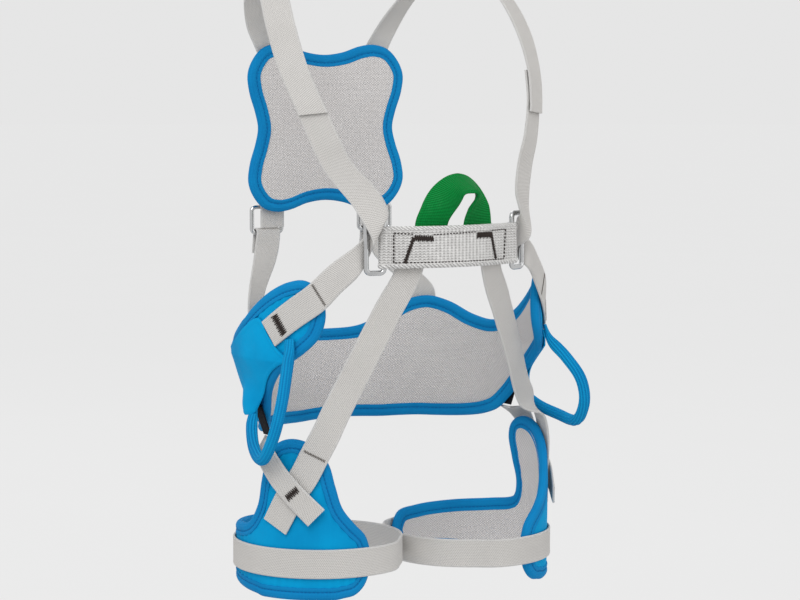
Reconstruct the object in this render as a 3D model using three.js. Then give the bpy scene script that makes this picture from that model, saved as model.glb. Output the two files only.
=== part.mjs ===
import * as THREE from 'three';

// Full body climbing harness, held in its worn form.
// Millimetres, +Z up, the wearer faces -Y and the wearer's left is +X.
// The origin is the middle of the waist belt.

// Webbing
const WEB_WIDTH = 21;
const WEB_THICK = 1.5;
const REAR_WIDTH = 21;
const SIDE_WIDTH = 17;
const LAYER_GAP = 0.45;
const STRAP_STEPS = 2;
const TWISTED_STEPS = 3;

// Layers of a padded piece, as offsets from the side that touches the wearer
const PAD = { inner: 0, outer: 5 };
const COVER = { inner: 5.4, outer: 6.4 };
const BINDING = { across: 4, normal: 3.4, offset: 3.2, sides: 6, spacing: 10.5 };
const EDGE_INSET = BINDING.across + 5.2;
const FIELD_SPACING = 2;
const COLUMN_LEAD = [0.25, 1.4, 4];
const STRAP_OFFSET = 7.8;
const STACKED_OFFSET = STRAP_OFFSET + WEB_THICK + 4 * LAYER_GAP;

// Waist that the belt follows, narrower below the middle
const TORSO = { halfWidth: 114.5, halfDepth: 88, centreY: 15, taperWidth: 0.36, taperDepth: 0.1, flat: 105 };

// Belt edges by the angle from the middle of the back
const BELT_EDGE = [
  { turn: 0, low: -62, high: 7 },
  { turn: 12, low: -62.5, high: 9 },
  { turn: 22, low: -63, high: 19 },
  { turn: 31, low: -62.5, high: 28 },
  { turn: 39.5, low: -62, high: 31 },
  { turn: 49, low: -62, high: 26.5 },
  { turn: 59, low: -61.5, high: 17.5 },
  { turn: 69, low: -60, high: 13.5 },
  { turn: 77, low: -57.5, high: 16.5 },
  { turn: 85, low: -52.5, high: 24 },
  { turn: 92, low: -42, high: 32.5 },
  { turn: 99.5, low: -26, high: 41.5 },
  { turn: 108, low: -12, high: 50.5 },
  { turn: 116, low: -2, high: 56.5 },
  { turn: 123.5, low: 7, high: 58 },
  { turn: 129.5, low: 18, high: 51 },
  { turn: 132, low: 34, high: 34 },
];
const BELT_STEP = 12;

// The rise of the upper edge sits lower on the right of the back
const RIGHT_RISE = { turn: 41, spread: 25, drop: 5 };

// Panel over each hip, by the same angle
const HIP_COVER = [
  { turn: 58, low: -44, high: 9 },
  { turn: 66, low: -45, high: 5 },
  { turn: 76, low: -44, high: 8 },
  { turn: 84, low: -43, high: 14 },
  { turn: 90, low: -42, high: 20.5 },
  { turn: 93, low: -35, high: 23.5 },
  { turn: 97.5, low: -21, high: 28 },
  { turn: 102, low: -12, high: 30 },
  { turn: 107, low: -4.5, high: 19 },
  { turn: 111.5, low: 0.5, high: 9.6 },
  { turn: 115, low: 2.6, high: 5.4 },
  { turn: 116.2, low: 3.2, high: 4.4 },
];
const HIP_COVER_LAYER = { inner: 8.2, outer: 9.2 };
const HIP_HEM = { turn: 89, spread: 12, top: -12, bottom: -41 };
const HIP_TAB = { turn: 88.5, width: 13, thick: 1, offset: 7.6, top: -40.5 };

// Back plate outline, right half from the bottom to the top
const BACK_OUTLINE = [
  { x: 0, z: 106 },
  { x: 16, z: 104 },
  { x: 30, z: 99.5 },
  { x: 42, z: 98 },
  { x: 54, z: 101 },
  { x: 63, z: 110 },
  { x: 67.5, z: 121 },
  { x: 66, z: 135 },
  { x: 61, z: 150 },
  { x: 58.5, z: 162 },
  { x: 61, z: 174 },
  { x: 66, z: 189 },
  { x: 67.5, z: 203 },
  { x: 63, z: 214 },
  { x: 54, z: 223 },
  { x: 42, z: 226 },
  { x: 30, z: 224.5 },
  { x: 16, z: 220 },
  { x: 0, z: 218 },
];
const BACK = { y: 114, bow: 0.0009, midZ: 162, rings: [1, 0.5] };

// Front band on an arc, with a tunnel at each end for the inner bar of a ring
const BAND = {
  radius: 125,
  thick: 5,
  centreY: 41,
  lowZ: 67,
  height: 29.5,
  barX: 53,
  bulb: 4.4,
  hole: 2.5,
  arcSteps: 14,
  bulbSteps: 8,
  holeSteps: 12,
};
const RING = { barSpan: 13, turn: { left: 23, right: 14 }, midZ: 83.5, height: 43, wire: 1.9, corner: 3.2 };
const WIRE_SIDES = 8;
const WIRE_CORNER_STEPS = 4;

// Loop for tying in: legs flat behind the band, crown with its width front to back, leaning to one side
const LOOP = { width: 25, thick: 2.6, shift: 2.2, sway: 6, lean: 0.55 };
const LOOP_PATH = [
  { x: 19, y: -73.9, z: 83.5, twist: 9 },
  { x: 19, y: -73.9, z: 98, twist: 9 },
  { x: 16.6, y: -75.5, z: 108.5, twist: 24 },
  { x: 12.8, y: -76.5, z: 118, twist: 55 },
  { x: 8.2, y: -77, z: 123.5, twist: 80 },
  { x: 3.5, y: -77, z: 125.5, twist: 90 },
];

// Chest web from the shoulder lap to the ring; across points to the outer edge
const CHEST_PATH = [
  { x: 99, y: -23, z: 205, ax: 0.84, ay: 0.54, az: -0.1 },
  { x: 94, y: -34, z: 183, ax: 0.84, ay: 0.54, az: -0.1 },
  { x: 86, y: -43, z: 157, ax: 0.84, ay: 0.5, az: -0.2 },
  { x: 78.3, y: -48, z: 139, ax: 0.83, ay: 0.46, az: -0.3 },
  { x: 63.8, y: -66.3, z: 113.4, ax: 0.76, ay: 0.36, az: -0.54 },
  { x: 60, y: -76.6, z: 94.8, ax: 0.5, ay: 0.12, az: -0.86 },
];
const WRAP = { front: 88.5, back: 78.5, from: 95, width: 21, steps: 4 };
const HIP_BRIDGE = [
  { x: 71.5, y: -63.5, z: 72.5, ax: -0.08, ay: -0.1, az: -0.99 },
  { x: 84, y: -55, z: 60, ax: -0.3, ay: -0.3, az: -0.9 },
];
const HIP_RUN = [
  { turn: 129, z: 46.5, offset: 8.8 },
  { turn: 120, z: 35, offset: STRAP_OFFSET },
  { turn: 114, z: 27.3, offset: STRAP_OFFSET },
  { turn: 107.8, z: 19.3, offset: STRAP_OFFSET },
];

// Shoulder web from the lap, over the shoulder and down the back plate
const SHOULDER_PATH = [
  { x: 92.9, y: -39.5, z: 175, ax: 0.84, ay: 0.54, az: -0.1 },
  { x: 95.3, y: -36, z: 183, ax: 0.84, ay: 0.54, az: -0.1 },
  { x: 100.4, y: -25, z: 205, ax: 0.85, ay: 0.52, az: -0.1 },
  { x: 101.5, y: -8, z: 235, ax: 0.9, ay: 0.4, az: -0.15 },
  { x: 97, y: 14, z: 263, ax: 0.93, ay: 0.25, az: -0.25 },
  { x: 88, y: 42, z: 284, ax: 0.96, ay: 0.15, az: -0.25 },
  { x: 78, y: 70, z: 285, ax: 0.97, ay: 0.2, az: 0 },
  { x: 66, y: 101, z: 263, ax: 0.97, ay: 0.1, az: 0.2 },
  { x: 56, y: 119, z: 238, ax: 0.98, ay: -0.08, az: 0.15 },
];
const SHOULDER_DOWN = { x: 44, topZ: 212, endZ: 86, offset: 8.2 };

// Frame below the back plate and the web that turns back round its lower bar
const FRAME = { x: 47.5, z: 92, width: 30, height: 23, wire: 1.7, corner: 3 };
const REAR_RUN = [
  { turn: 37, z: 4, offset: STRAP_OFFSET },
  { turn: 37, z: 20, offset: STRAP_OFFSET },
  { turn: 36.5, z: 36, offset: 8 },
];
const REAR_BRIDGE = { x: 52.5, y: 115.5, z: 64 };
const REAR_TAIL = [{ drop: 8, out: 4.2 }, { drop: 16, out: 5.5 }];

// Gear loop, flattened where its ends are sewn down
const GEAR = { radius: 4.3, endThick: 1.3, endWide: 3.9, ease: 20, sides: 8, steps: 24 };
const GEAR_PATH = [
  { x: 107.8, y: -30.5, z: 16.2, sag: 0, out: 0 },
  { x: 110, y: -34, z: 6, sag: 0, out: 0 },
  { x: 118, y: -44.5, z: -8, sag: 0.1, out: 0 },
  { x: 126, y: -52.5, z: -25, sag: 0.4, out: 0 },
  { x: 131, y: -50, z: -44, sag: 0.8, out: 0 },
  { x: 132, y: -36, z: -60, sag: 1, out: 0.3 },
  { x: 127.5, y: -14, z: -58, sag: 0.8, out: 1 },
  { x: 118, y: 9.5, z: -47, sag: 0.3, out: 0.8 },
  { x: 112.2, y: 14.5, z: -31, sag: 0, out: 0 },
];
const GEAR_HANG = { left: { sag: -3, out: 5.1, lift: 14.9 }, right: { sag: 6.7, out: 0, lift: 10.8 } };

// Leg loops round upright thighs; each pad is turned to its own angle, and a pad may lean toward its top
const THIGH = { y: 5, radius: 56 };
const LEG = {
  left: {
    x: 60,
    turn: 69,
    drop: 5,
    lean: 0.47,
    lead: { turn: -35, z: -34.5, offset: -8.5, face: 22 },
    entry: { turn: -23.5, z: -50, offset: 4.4 },
    tab: -49,
    side: { turn: 8, z: -54, offset: STACKED_OFFSET + 1.2 },
  },
  right: {
    x: 64,
    turn: 48,
    drop: 0,
    lean: 0,
    lead: { turn: -29, z: -36, offset: 7.5, face: 19 },
    entry: { turn: -23, z: -50, offset: 8.4 },
    tab: -58,
    side: { turn: 18, z: -65, offset: 8.6 },
  },
};
const LEAN_FROM = -121;
const LEG_EDGE = [
  { turn: -56, low: -141, high: -141 },
  { turn: -52, low: -159, high: -125 },
  { turn: -44, low: -167, high: -116 },
  { turn: -35, low: -169, high: -104 },
  { turn: -30, low: -170, high: -88 },
  { turn: -25, low: -170, high: -71 },
  { turn: -14, low: -170, high: -58 },
  { turn: 0, low: -170, high: -54 },
  { turn: 12, low: -170, high: -58 },
  { turn: 20, low: -170, high: -68 },
  { turn: 25, low: -170, high: -86 },
  { turn: 29, low: -169, high: -104 },
  { turn: 39, low: -168, high: -117 },
  { turn: 60, low: -166, high: -121 },
  { turn: 90, low: -163, high: -123 },
  { turn: 120, low: -160, high: -125 },
  { turn: 140, low: -156, high: -128 },
  { turn: 148, low: -142, high: -142 },
];
const LEG_STEP = 9;
const LEG_STRAP = { z: -143, pad: STRAP_OFFSET, bare: 3, steps: 44, from: -72, to: 167, ease: 26 };

// Risers from the band to the leg pads, then crossed by the side webs
const RISER_TOP = [
  { x: 33.5, y: -71.7, z: 80 },
  { x: 34, y: -71.6, z: 66 },
];
const RISER_FACE = [
  { part: 0.3, turn: 12 },
  { part: 0.62, turn: 18 },
];
const RISER_LEG = [
  { turn: -15.5, z: -66, offset: 8 },
  { turn: -9, z: -80, offset: 8 },
  { turn: -0.5, z: -94, offset: 8 },
  { turn: 11, z: -117, offset: 8 },
];
const SIDE_LEG = [
  { turn: 7, z: -80, offset: STACKED_OFFSET },
  { turn: 1.5, z: -87, offset: STACKED_OFFSET },
  { turn: -4, z: -94, offset: STACKED_OFFSET },
  { turn: -17, z: -109, offset: STACKED_OFFSET },
];
const SIDE_START_DROP = 1.8;

const COLOUR = {
  blue: { color: 0x0a7fd0, roughness: 0.8, metalness: 0 },
  panel: { color: 0x0a8fd8, roughness: 0.65, metalness: 0 },
  mesh: { color: 0xc9c4c1, roughness: 0.95, metalness: 0 },
  web: { color: 0xc8c5c0, roughness: 0.85, metalness: 0 },
  green: { color: 0x0a8a38, roughness: 0.8, metalness: 0 },
  black: { color: 0x101014, roughness: 0.9, metalness: 0 },
  metal: { color: 0xd4d6d8, roughness: 0.25, metalness: 1 },
};

const group = new THREE.Group();
group.name = 'full_body_harness';

/** A vector from three numbers. */
function vec(x, y, z) {
  return new THREE.Vector3(x, y, z);
}

/** Six times the signed volume of an indexed surface. */
function signedVolume(points, faces) {
  let sum = 0;
  for (const [a, b, c] of faces) {
    sum += points[a].dot(points[b].clone().cross(points[c]));
  }
  return sum;
}

/** A closed surface with its faces turned outward. */
function surface(points, faces) {
  const turned = signedVolume(points, faces) < 0 ? faces.map(([a, b, c]) => [a, c, b]) : faces;
  const geometry = new THREE.BufferGeometry();
  geometry.setAttribute('position', new THREE.Float32BufferAttribute(points.flatMap((p) => p.toArray()), 3));
  geometry.setIndex(turned.flat());
  geometry.computeVertexNormals();
  return geometry;
}

/**
 * Sections of equal count joined in order, closed round or capped at both ends.
 * The two broad sides are split along the same diagonals, so a thin web keeps its thickness.
 */
function loft(sections, closed) {
  const count = sections[0].length;
  const points = sections.flat();
  const faces = [];
  const last = closed ? sections.length : sections.length - 1;
  for (let i = 0; i < last; i += 1) {
    const here = i * count;
    const next = ((i + 1) % sections.length) * count;
    for (let j = 0; j < count; j += 1) {
      const k = (j + 1) % count;
      if (j < count / 2) {
        faces.push([here + j, here + k, next + k], [here + j, next + k, next + j]);
      } else {
        faces.push([here + j, here + k, next + j], [here + k, next + k, next + j]);
      }
    }
  }
  if (!closed) {
    const end = (sections.length - 1) * count;
    for (let j = 1; j < count - 1; j += 1) {
      faces.push([0, j + 1, j], [end, end + j, end + j + 1]);
    }
  }
  return surface(points, faces);
}

/** Rows of centre and across vectors filled in smoothly, with so many steps to a row. */
function smoothRows(rows, steps) {
  const centres = new THREE.CatmullRomCurve3(rows.map((row) => row.centre));
  const acrosses = new THREE.CatmullRomCurve3(rows.map((row) => row.across));
  const widths = new THREE.CatmullRomCurve3(rows.map((row, i) => vec(i, row.width, 0)));
  const count = (rows.length - 1) * steps;
  return Array.from({ length: count + 1 }, (_, i) => ({
    centre: centres.getPoint(i / count),
    across: acrosses.getPoint(i / count),
    width: widths.getPoint(i / count).y,
  }));
}

/** A flat web along rows of centre, across and width. */
function ribbon(rows, thick, closed = false) {
  const count = rows.length;
  const at = (i) => rows[closed ? (i + count) % count : Math.min(Math.max(i, 0), count - 1)].centre;
  const sections = rows.map((row, i) => {
    const along = at(i + 1).clone().sub(at(i - 1)).normalize();
    const half = row.across.clone().normalize().multiplyScalar(row.width / 2);
    const lift = along.cross(half).normalize().multiplyScalar(thick / 2);
    return [
      row.centre.clone().sub(half).sub(lift),
      row.centre.clone().add(half).sub(lift),
      row.centre.clone().add(half).add(lift),
      row.centre.clone().sub(half).add(lift),
    ];
  });
  return loft(sections, closed);
}

/** A closed tube through points that carry the surface normal there. */
function rim(points, half) {
  const count = points.length;
  const sections = points.map((point, i) => {
    const next = points[(i + 1) % count].centre;
    const before = points[(i + count - 1) % count].centre;
    const along = next.clone().sub(before).normalize();
    const side = along.cross(point.normal).normalize();
    return Array.from({ length: half.sides }, (_, j) => {
      const angle = Math.PI / 2 + (j * 2 * Math.PI) / half.sides;
      return point.centre.clone()
        .addScaledVector(side, Math.cos(angle) * half.across)
        .addScaledVector(point.normal, Math.sin(angle) * half.normal);
    });
  });
  return loft(sections, true);
}

/** Evenly spaced points on a closed smooth outline in the plane. */
function outlinePoints(corners, spacing) {
  const curve = new THREE.CatmullRomCurve3(corners.map(([x, y]) => vec(x, y, 0)), true);
  const count = Math.round(curve.getLength() / spacing);
  return curve.getSpacedPoints(count).slice(0, count);
}

/** An outline moved inward. */
function inset(points, distance) {
  const count = points.length;
  const area = points.reduce((sum, p, i) => {
    const q = points[(i + 1) % count];
    return sum + p.x * q.y - q.x * p.y;
  }, 0);
  return points.map((p, i) => {
    const along = points[(i + 1) % count].clone().sub(points[(i + count - 1) % count]).normalize();
    const inward = vec(-along.y, along.x, 0).multiplyScalar(Math.sign(area));
    return p.clone().addScaledVector(inward, distance);
  });
}

/** Middle line of the rolled edge inside an outline. */
function rolledEdge(corners) {
  return inset(outlinePoints(corners, BINDING.spacing), BINDING.across);
}

/** The lowest and highest crossing of an outline at one place along it. */
function span(points, x) {
  const heights = [];
  points.forEach((p, i) => {
    const q = points[(i + 1) % points.length];
    if ((p.x - x) * (q.x - x) < 0) {
      heights.push(p.y + ((q.y - p.y) * (x - p.x)) / (q.x - p.x));
    }
  });
  return { low: Math.min(...heights), high: Math.max(...heights) };
}

/** Columns that cover an outline, closer together at its two ends. */
function columns(points, step) {
  const xs = points.map((p) => p.x);
  const from = Math.min(...xs);
  const to = Math.max(...xs);
  const [, , lead] = COLUMN_LEAD;
  const inner = to - from - 2 * lead;
  const count = Math.round(inner / step);
  const middle = Array.from({ length: count - 1 }, (_, i) => from + lead + (inner * (i + 1)) / count);
  const places = [
    ...COLUMN_LEAD.map((d) => from + d),
    ...middle,
    ...COLUMN_LEAD.map((d) => to - d).reverse(),
  ];
  return places.map((x) => ({ x, ...span(points, x) }));
}

/** Columns with one more halfway between each pair. */
function refined(cells) {
  return cells.flatMap((cell, i) => {
    const next = cells[i + 1];
    const half = (key) => (cell[key] + next[key]) / 2;
    return next ? [cell, { x: half('x'), low: half('low'), high: half('high') }] : [cell];
  });
}

/** A wall between two offsets, made of upright columns on a mapped surface. */
function wall(cells, place, layer) {
  const sections = cells.map(({ x, low, high }) => {
    const mid = (low + high) / 2;
    return [
      place(x, low, layer.inner),
      place(x, mid, layer.inner),
      place(x, high, layer.inner),
      place(x, high, layer.outer),
      place(x, mid, layer.outer),
      place(x, low, layer.outer),
    ];
  });
  return loft(sections, false);
}

/** Outline points lifted to a mapped surface, with their normals. */
function rimPoints(points, place, offset) {
  return points.map((p) => {
    const centre = place(p.x, p.y, offset);
    const normal = place(p.x, p.y, offset + 1).sub(centre).normalize();
    return { centre, normal };
  });
}

/** A named piece in its own material. */
function piece(name, geometry, look) {
  const mesh = new THREE.Mesh(geometry, new THREE.MeshStandardMaterial(look));
  mesh.name = name;
  group.add(mesh);
}

/** A point on the torso by angle from the back, height and offset. */
function onTorso(turn, z, offset) {
  const angle = THREE.MathUtils.degToRad(turn);
  const below = Math.min(z, 0);
  const wide = TORSO.halfWidth + TORSO.taperWidth * below;
  const deep = TORSO.halfDepth + TORSO.taperDepth * below;
  const normal = vec(Math.sin(angle) / wide, Math.cos(angle) / deep, 0).normalize();
  const skin = vec(wide * Math.sin(angle), TORSO.centreY + deep * Math.cos(angle), z);
  return skin.addScaledVector(normal, offset);
}

/** The same point by its distance round the torso. */
function onBelt(distance, z, offset) {
  return onTorso(THREE.MathUtils.radToDeg(distance / TORSO.flat), z, offset);
}

/** Distance round the torso for an angle. */
function beltDistance(turn) {
  return THREE.MathUtils.degToRad(turn) * TORSO.flat;
}

/** A point on the back plate. */
function onBack(x, z, offset) {
  return vec(x, BACK.y + offset - BACK.bow * x * x, z);
}

/** A point round one thigh by angle from the front toward the outside. */
function onThigh(side, turn, z, offset) {
  const angle = THREE.MathUtils.degToRad(turn);
  const reach = THIGH.radius + offset;
  return vec(side.sign * (LEG[side.name].x + reach * Math.sin(angle)), THIGH.y - reach * Math.cos(angle), z);
}

/** A point on one leg pad, turned and leaning as the pad is. */
function onLeg(side, turn, z, offset) {
  const { turn: yaw, drop, lean } = LEG[side.name];
  return onThigh(side, yaw + turn + lean * Math.max(z - LEAN_FROM, 0), z - drop, offset);
}

/** Path rows with a fixed across vector mirrored to one side. */
function mirrored(rows, side, width) {
  return rows.map((row) => ({
    centre: vec(side.sign * row.x, row.y, row.z),
    across: vec(side.sign * row.ax, row.ay, row.az),
    width,
  }));
}

/** Rows that lie on a surface: across is square to the path and to the normal. */
function surfaceRows(centres, normals, width, toward) {
  return centres.map((centre, i) => {
    const next = centres[Math.min(i + 1, centres.length - 1)];
    const before = centres[Math.max(i - 1, 0)];
    const across = next.clone().sub(before).cross(normals[i]).normalize();
    return { centre, across: across.dot(toward) < 0 ? across.negate() : across, width };
  });
}

/** Rows of a web that runs on the torso. */
function torsoRows(run, side, width, toward) {
  const centres = run.map((row) => onTorso(side.sign * row.turn, row.z, row.offset));
  const normals = run.map((row, i) => onTorso(side.sign * row.turn, row.z, row.offset + 1).sub(centres[i]));
  return surfaceRows(centres, normals, width, toward);
}

/** Rows of a web that runs on a leg pad. */
function thighRows(run, side, width, toward) {
  const place = (row, more) => onLeg(side, row.turn, row.z, row.offset + more);
  const centres = run.map((row) => place(row, 0));
  const normals = run.map((row, i) => place(row, 1).sub(centres[i]));
  return surfaceRows(centres, normals, width, toward);
}

/** Belt: pad, outer fabric and rolled edge. */
function belt() {
  const corners = [];
  const tip = BELT_EDGE.length - 1;
  const row = (i, sign, key) => {
    const { turn } = BELT_EDGE[i];
    const near = RIGHT_RISE.spread - Math.abs(turn - RIGHT_RISE.turn);
    const dip = sign < 0 && key === 'high'
      ? RIGHT_RISE.drop * THREE.MathUtils.smoothstep(near, 0, RIGHT_RISE.spread) : 0;
    return [sign * beltDistance(turn), BELT_EDGE[i][key] - dip];
  };
  for (let i = tip; i > 0; i -= 1) {
    corners.push(row(i, -1, 'low'));
  }
  for (let i = 0; i <= tip; i += 1) {
    corners.push(row(i, 1, 'low'));
  }
  for (let i = tip - 1; i >= 0; i -= 1) {
    corners.push(row(i, 1, 'high'));
  }
  for (let i = 1; i < tip; i += 1) {
    corners.push(row(i, -1, 'high'));
  }
  const edge = rolledEdge(corners);
  const cells = columns(inset(outlinePoints(corners, FIELD_SPACING), EDGE_INSET), BELT_STEP);
  piece('belt_pad', wall(cells, onBelt, PAD), COLOUR.mesh);
  piece('belt_cover', wall(cells, onBelt, COVER), COLOUR.blue);
  piece('belt_binding', rim(rimPoints(edge, onBelt, BINDING.offset), BINDING), COLOUR.blue);
}

/** Back plate: pad, outer fabric and rolled edge. */
function backPlate() {
  const right = BACK_OUTLINE.map((row) => [row.x, row.z]);
  const left = BACK_OUTLINE.slice(1, -1).reverse().map((row) => [-row.x, row.z]);
  const corners = [...right, ...left];
  const edge = rolledEdge(corners);
  const field = inset(outlinePoints(corners, BINDING.spacing), EDGE_INSET);
  const centre = vec(0, BACK.midZ, 0);
  const disc = (layer) => {
    const points = [];
    const faces = [];
    const count = field.length;
    const rings = BACK.rings.length;
    for (const offset of [layer.inner, layer.outer]) {
      for (const scale of BACK.rings) {
        for (const p of field) {
          const q = centre.clone().lerp(p, scale);
          points.push(onBack(q.x, q.y, offset));
        }
      }
      points.push(onBack(centre.x, centre.y, offset));
    }
    const shift = rings * count + 1;
    for (let i = 0; i < count; i += 1) {
      const k = (i + 1) % count;
      for (let r = 0; r < rings - 1; r += 1) {
        const a = r * count;
        const b = a + count;
        faces.push([a + i, a + k, b + k], [a + i, b + k, b + i]);
        faces.push([shift + a + i, shift + b + k, shift + a + k]);
        faces.push([shift + a + i, shift + b + i, shift + b + k]);
      }
      const last = (rings - 1) * count;
      faces.push([last + i, last + k, shift - 1]);
      faces.push([shift + last + i, 2 * shift - 1, shift + last + k]);
      faces.push([i, shift + i, shift + k], [i, shift + k, k]);
    }
    return surface(points, faces);
  };
  piece('back_pad', disc(PAD), COLOUR.mesh);
  piece('back_cover', disc(COVER), COLOUR.blue);
  piece('back_binding', rim(rimPoints(edge, onBack, BINDING.offset), BINDING), COLOUR.blue);
}

/** Front band with its two tunnels. */
function frontBand() {
  const inner = BAND.radius - BAND.thick;
  const mid = BAND.radius - BAND.thick / 2;
  const barAngle = Math.asin(BAND.barX / mid);
  const neck = barAngle - Math.acos(1 - (BAND.bulb * BAND.bulb) / (2 * mid * mid));
  const onArc = (radius, angle) => (
    new THREE.Vector2(radius * Math.sin(angle), BAND.centreY - radius * Math.cos(angle))
  );
  const arc = (radius, from, to) => Array.from({ length: BAND.arcSteps + 1 }, (_, i) => (
    onArc(radius, from + ((to - from) * i) / BAND.arcSteps)
  ));
  const bulb = (sign) => {
    const bar = onArc(mid, sign * barAngle);
    return Array.from({ length: BAND.bulbSteps + 1 }, (_, i) => {
      const swing = sign * (barAngle - Math.PI / 2 + (Math.PI * i) / BAND.bulbSteps);
      const reach = BAND.bulb * sign;
      return new THREE.Vector2(bar.x + reach * Math.cos(swing), bar.y + reach * Math.sin(swing));
    });
  };
  const outline = [
    ...arc(BAND.radius, -neck, neck),
    ...bulb(1),
    ...arc(inner, neck, -neck),
    ...bulb(-1).reverse(),
  ];
  const shape = new THREE.Shape(outline);
  for (const sign of [1, -1]) {
    const bar = onArc(mid, sign * barAngle);
    const hole = new THREE.Path();
    hole.absarc(bar.x, bar.y, BAND.hole, 0, Math.PI * 2, true);
    shape.holes.push(hole);
  }
  const geometry = new THREE.ExtrudeGeometry(shape, {
    depth: BAND.height,
    bevelEnabled: false,
    curveSegments: BAND.holeSteps,
  });
  geometry.translate(0, 0, BAND.lowZ);
  piece('front_band', geometry, COLOUR.web);
}

/** Points of an upright rounded rectangle of wire, in its own plane. */
function wireRectangle(width, height, corner) {
  const points = [];
  const corners = [
    { x: width / 2 - corner, z: height / 2 - corner, from: 0 },
    { x: corner - width / 2, z: height / 2 - corner, from: 90 },
    { x: corner - width / 2, z: corner - height / 2, from: 180 },
    { x: width / 2 - corner, z: corner - height / 2, from: 270 },
  ];
  for (const { x, z, from } of corners) {
    for (let i = 0; i <= WIRE_CORNER_STEPS; i += 1) {
      const angle = THREE.MathUtils.degToRad(from + (90 * i) / WIRE_CORNER_STEPS);
      points.push({ x: x + corner * Math.cos(angle), z: z + corner * Math.sin(angle) });
    }
  }
  return points;
}

/** Middle of the outer bar of a front ring. */
function ringBar(side) {
  const mid = BAND.radius - BAND.thick / 2;
  const turn = THREE.MathUtils.degToRad(RING.turn[side.name]);
  const innerY = BAND.centreY - Math.sqrt(mid * mid - BAND.barX * BAND.barX);
  return {
    inner: vec(side.sign * BAND.barX, innerY, RING.midZ),
    along: vec(side.sign * Math.cos(turn), Math.sin(turn), 0),
  };
}

/** Wire ring at one end of the band. */
function frontRing(side) {
  const { inner, along } = ringBar(side);
  const normal = vec(-along.y, along.x, 0);
  const centre = inner.clone().addScaledVector(along, RING.barSpan / 2);
  const points = wireRectangle(RING.barSpan, RING.height - 2 * RING.wire, RING.corner).map((p) => ({
    centre: centre.clone().addScaledVector(along, p.x).add(vec(0, 0, p.z)),
    normal,
  }));
  const half = { across: RING.wire, normal: RING.wire, sides: WIRE_SIDES };
  piece(`ring_${side.name}`, rim(points, half), COLOUR.metal);
}

/** Loop for tying in. */
function tieInLoop() {
  const rows = [];
  const foot = LOOP_PATH[1].z;
  const top = LOOP_PATH[LOOP_PATH.length - 1].z;
  const add = (row, sign) => {
    const twist = THREE.MathUtils.degToRad(row.twist);
    const rise = Math.max(row.z - foot, 0) / (top - foot);
    rows.push({
      centre: vec(sign * row.x + LOOP.shift + LOOP.sway * rise, row.y, row.z),
      across: vec(Math.cos(twist), sign * Math.sin(twist), sign * LOOP.lean * Math.sin(twist) * rise),
      width: LOOP.width,
    });
  };
  LOOP_PATH.forEach((row) => add(row, 1));
  const crown = rows.length;
  [...LOOP_PATH].reverse().forEach((row) => add(row, -1));
  rows.slice(crown).forEach((row) => row.across.negate());
  piece('tie_in_loop', ribbon(smoothRows(rows, TWISTED_STEPS), LOOP.thick), COLOUR.green);
}

/** Chest web: lap, round the ring and down to the hip. */
function chestStrap(side) {
  const { inner, along } = ringBar(side);
  const bar = inner.clone().addScaledVector(along, RING.barSpan);
  const reach = RING.wire + 2 * LAYER_GAP + WEB_THICK / 2;
  const wrap = Array.from({ length: WRAP.steps + 1 }, (_, i) => {
    const angle = THREE.MathUtils.degToRad(THREE.MathUtils.lerp(WRAP.from, 180, i / WRAP.steps));
    const z = WRAP.front + ((WRAP.back - WRAP.front) * i) / WRAP.steps;
    return {
      centre: vec(bar.x - side.sign * reach * Math.sin(angle), bar.y - reach * Math.cos(angle), z),
      across: vec(0, 0, -1),
      width: WRAP.width,
    };
  });
  const rows = [
    ...mirrored(CHEST_PATH, side, WEB_WIDTH),
    ...wrap,
    ...mirrored(HIP_BRIDGE, side, WEB_WIDTH),
    ...torsoRows(HIP_RUN, side, WEB_WIDTH, vec(0, 0, -1)),
  ];
  piece(`chest_strap_${side.name}`, ribbon(smoothRows(rows, STRAP_STEPS), WEB_THICK), COLOUR.web);
}

/** Shoulder web down to the frame on the back plate. */
function shoulderStrap(side) {
  const down = [SHOULDER_DOWN.topZ, (SHOULDER_DOWN.topZ + SHOULDER_DOWN.endZ) / 2, SHOULDER_DOWN.endZ];
  const rows = [
    ...mirrored(SHOULDER_PATH, side, WEB_WIDTH),
    ...down.map((z) => ({
      centre: onBack(side.sign * SHOULDER_DOWN.x, z, SHOULDER_DOWN.offset),
      across: vec(side.sign, -2 * BACK.bow * SHOULDER_DOWN.x, 0),
      width: WEB_WIDTH,
    })),
  ];
  piece(`shoulder_strap_${side.name}`, ribbon(smoothRows(rows, STRAP_STEPS), WEB_THICK), COLOUR.web);
}

/** Middle of the frame on the back plate. */
function frameCentre(side) {
  const offset = SHOULDER_DOWN.offset + WEB_THICK / 2 + LAYER_GAP + FRAME.wire;
  return onBack(side.sign * FRAME.x, FRAME.z, offset);
}

/** Plain wire frame on the back plate. */
function backBuckle(side) {
  const centre = frameCentre(side);
  const along = vec(side.sign, -2 * BACK.bow * FRAME.x, 0).normalize();
  const normal = vec(-along.y, along.x, 0);
  const wide = FRAME.width - 2 * FRAME.wire;
  const points = wireRectangle(wide, FRAME.height - 2 * FRAME.wire, FRAME.corner).map((p) => ({
    centre: centre.clone().addScaledVector(along, p.x).add(vec(0, 0, p.z)),
    normal,
  }));
  const half = { across: FRAME.wire, normal: FRAME.wire, sides: WIRE_SIDES };
  piece(`back_buckle_${side.name}`, rim(points, half), COLOUR.metal);
}

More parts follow.
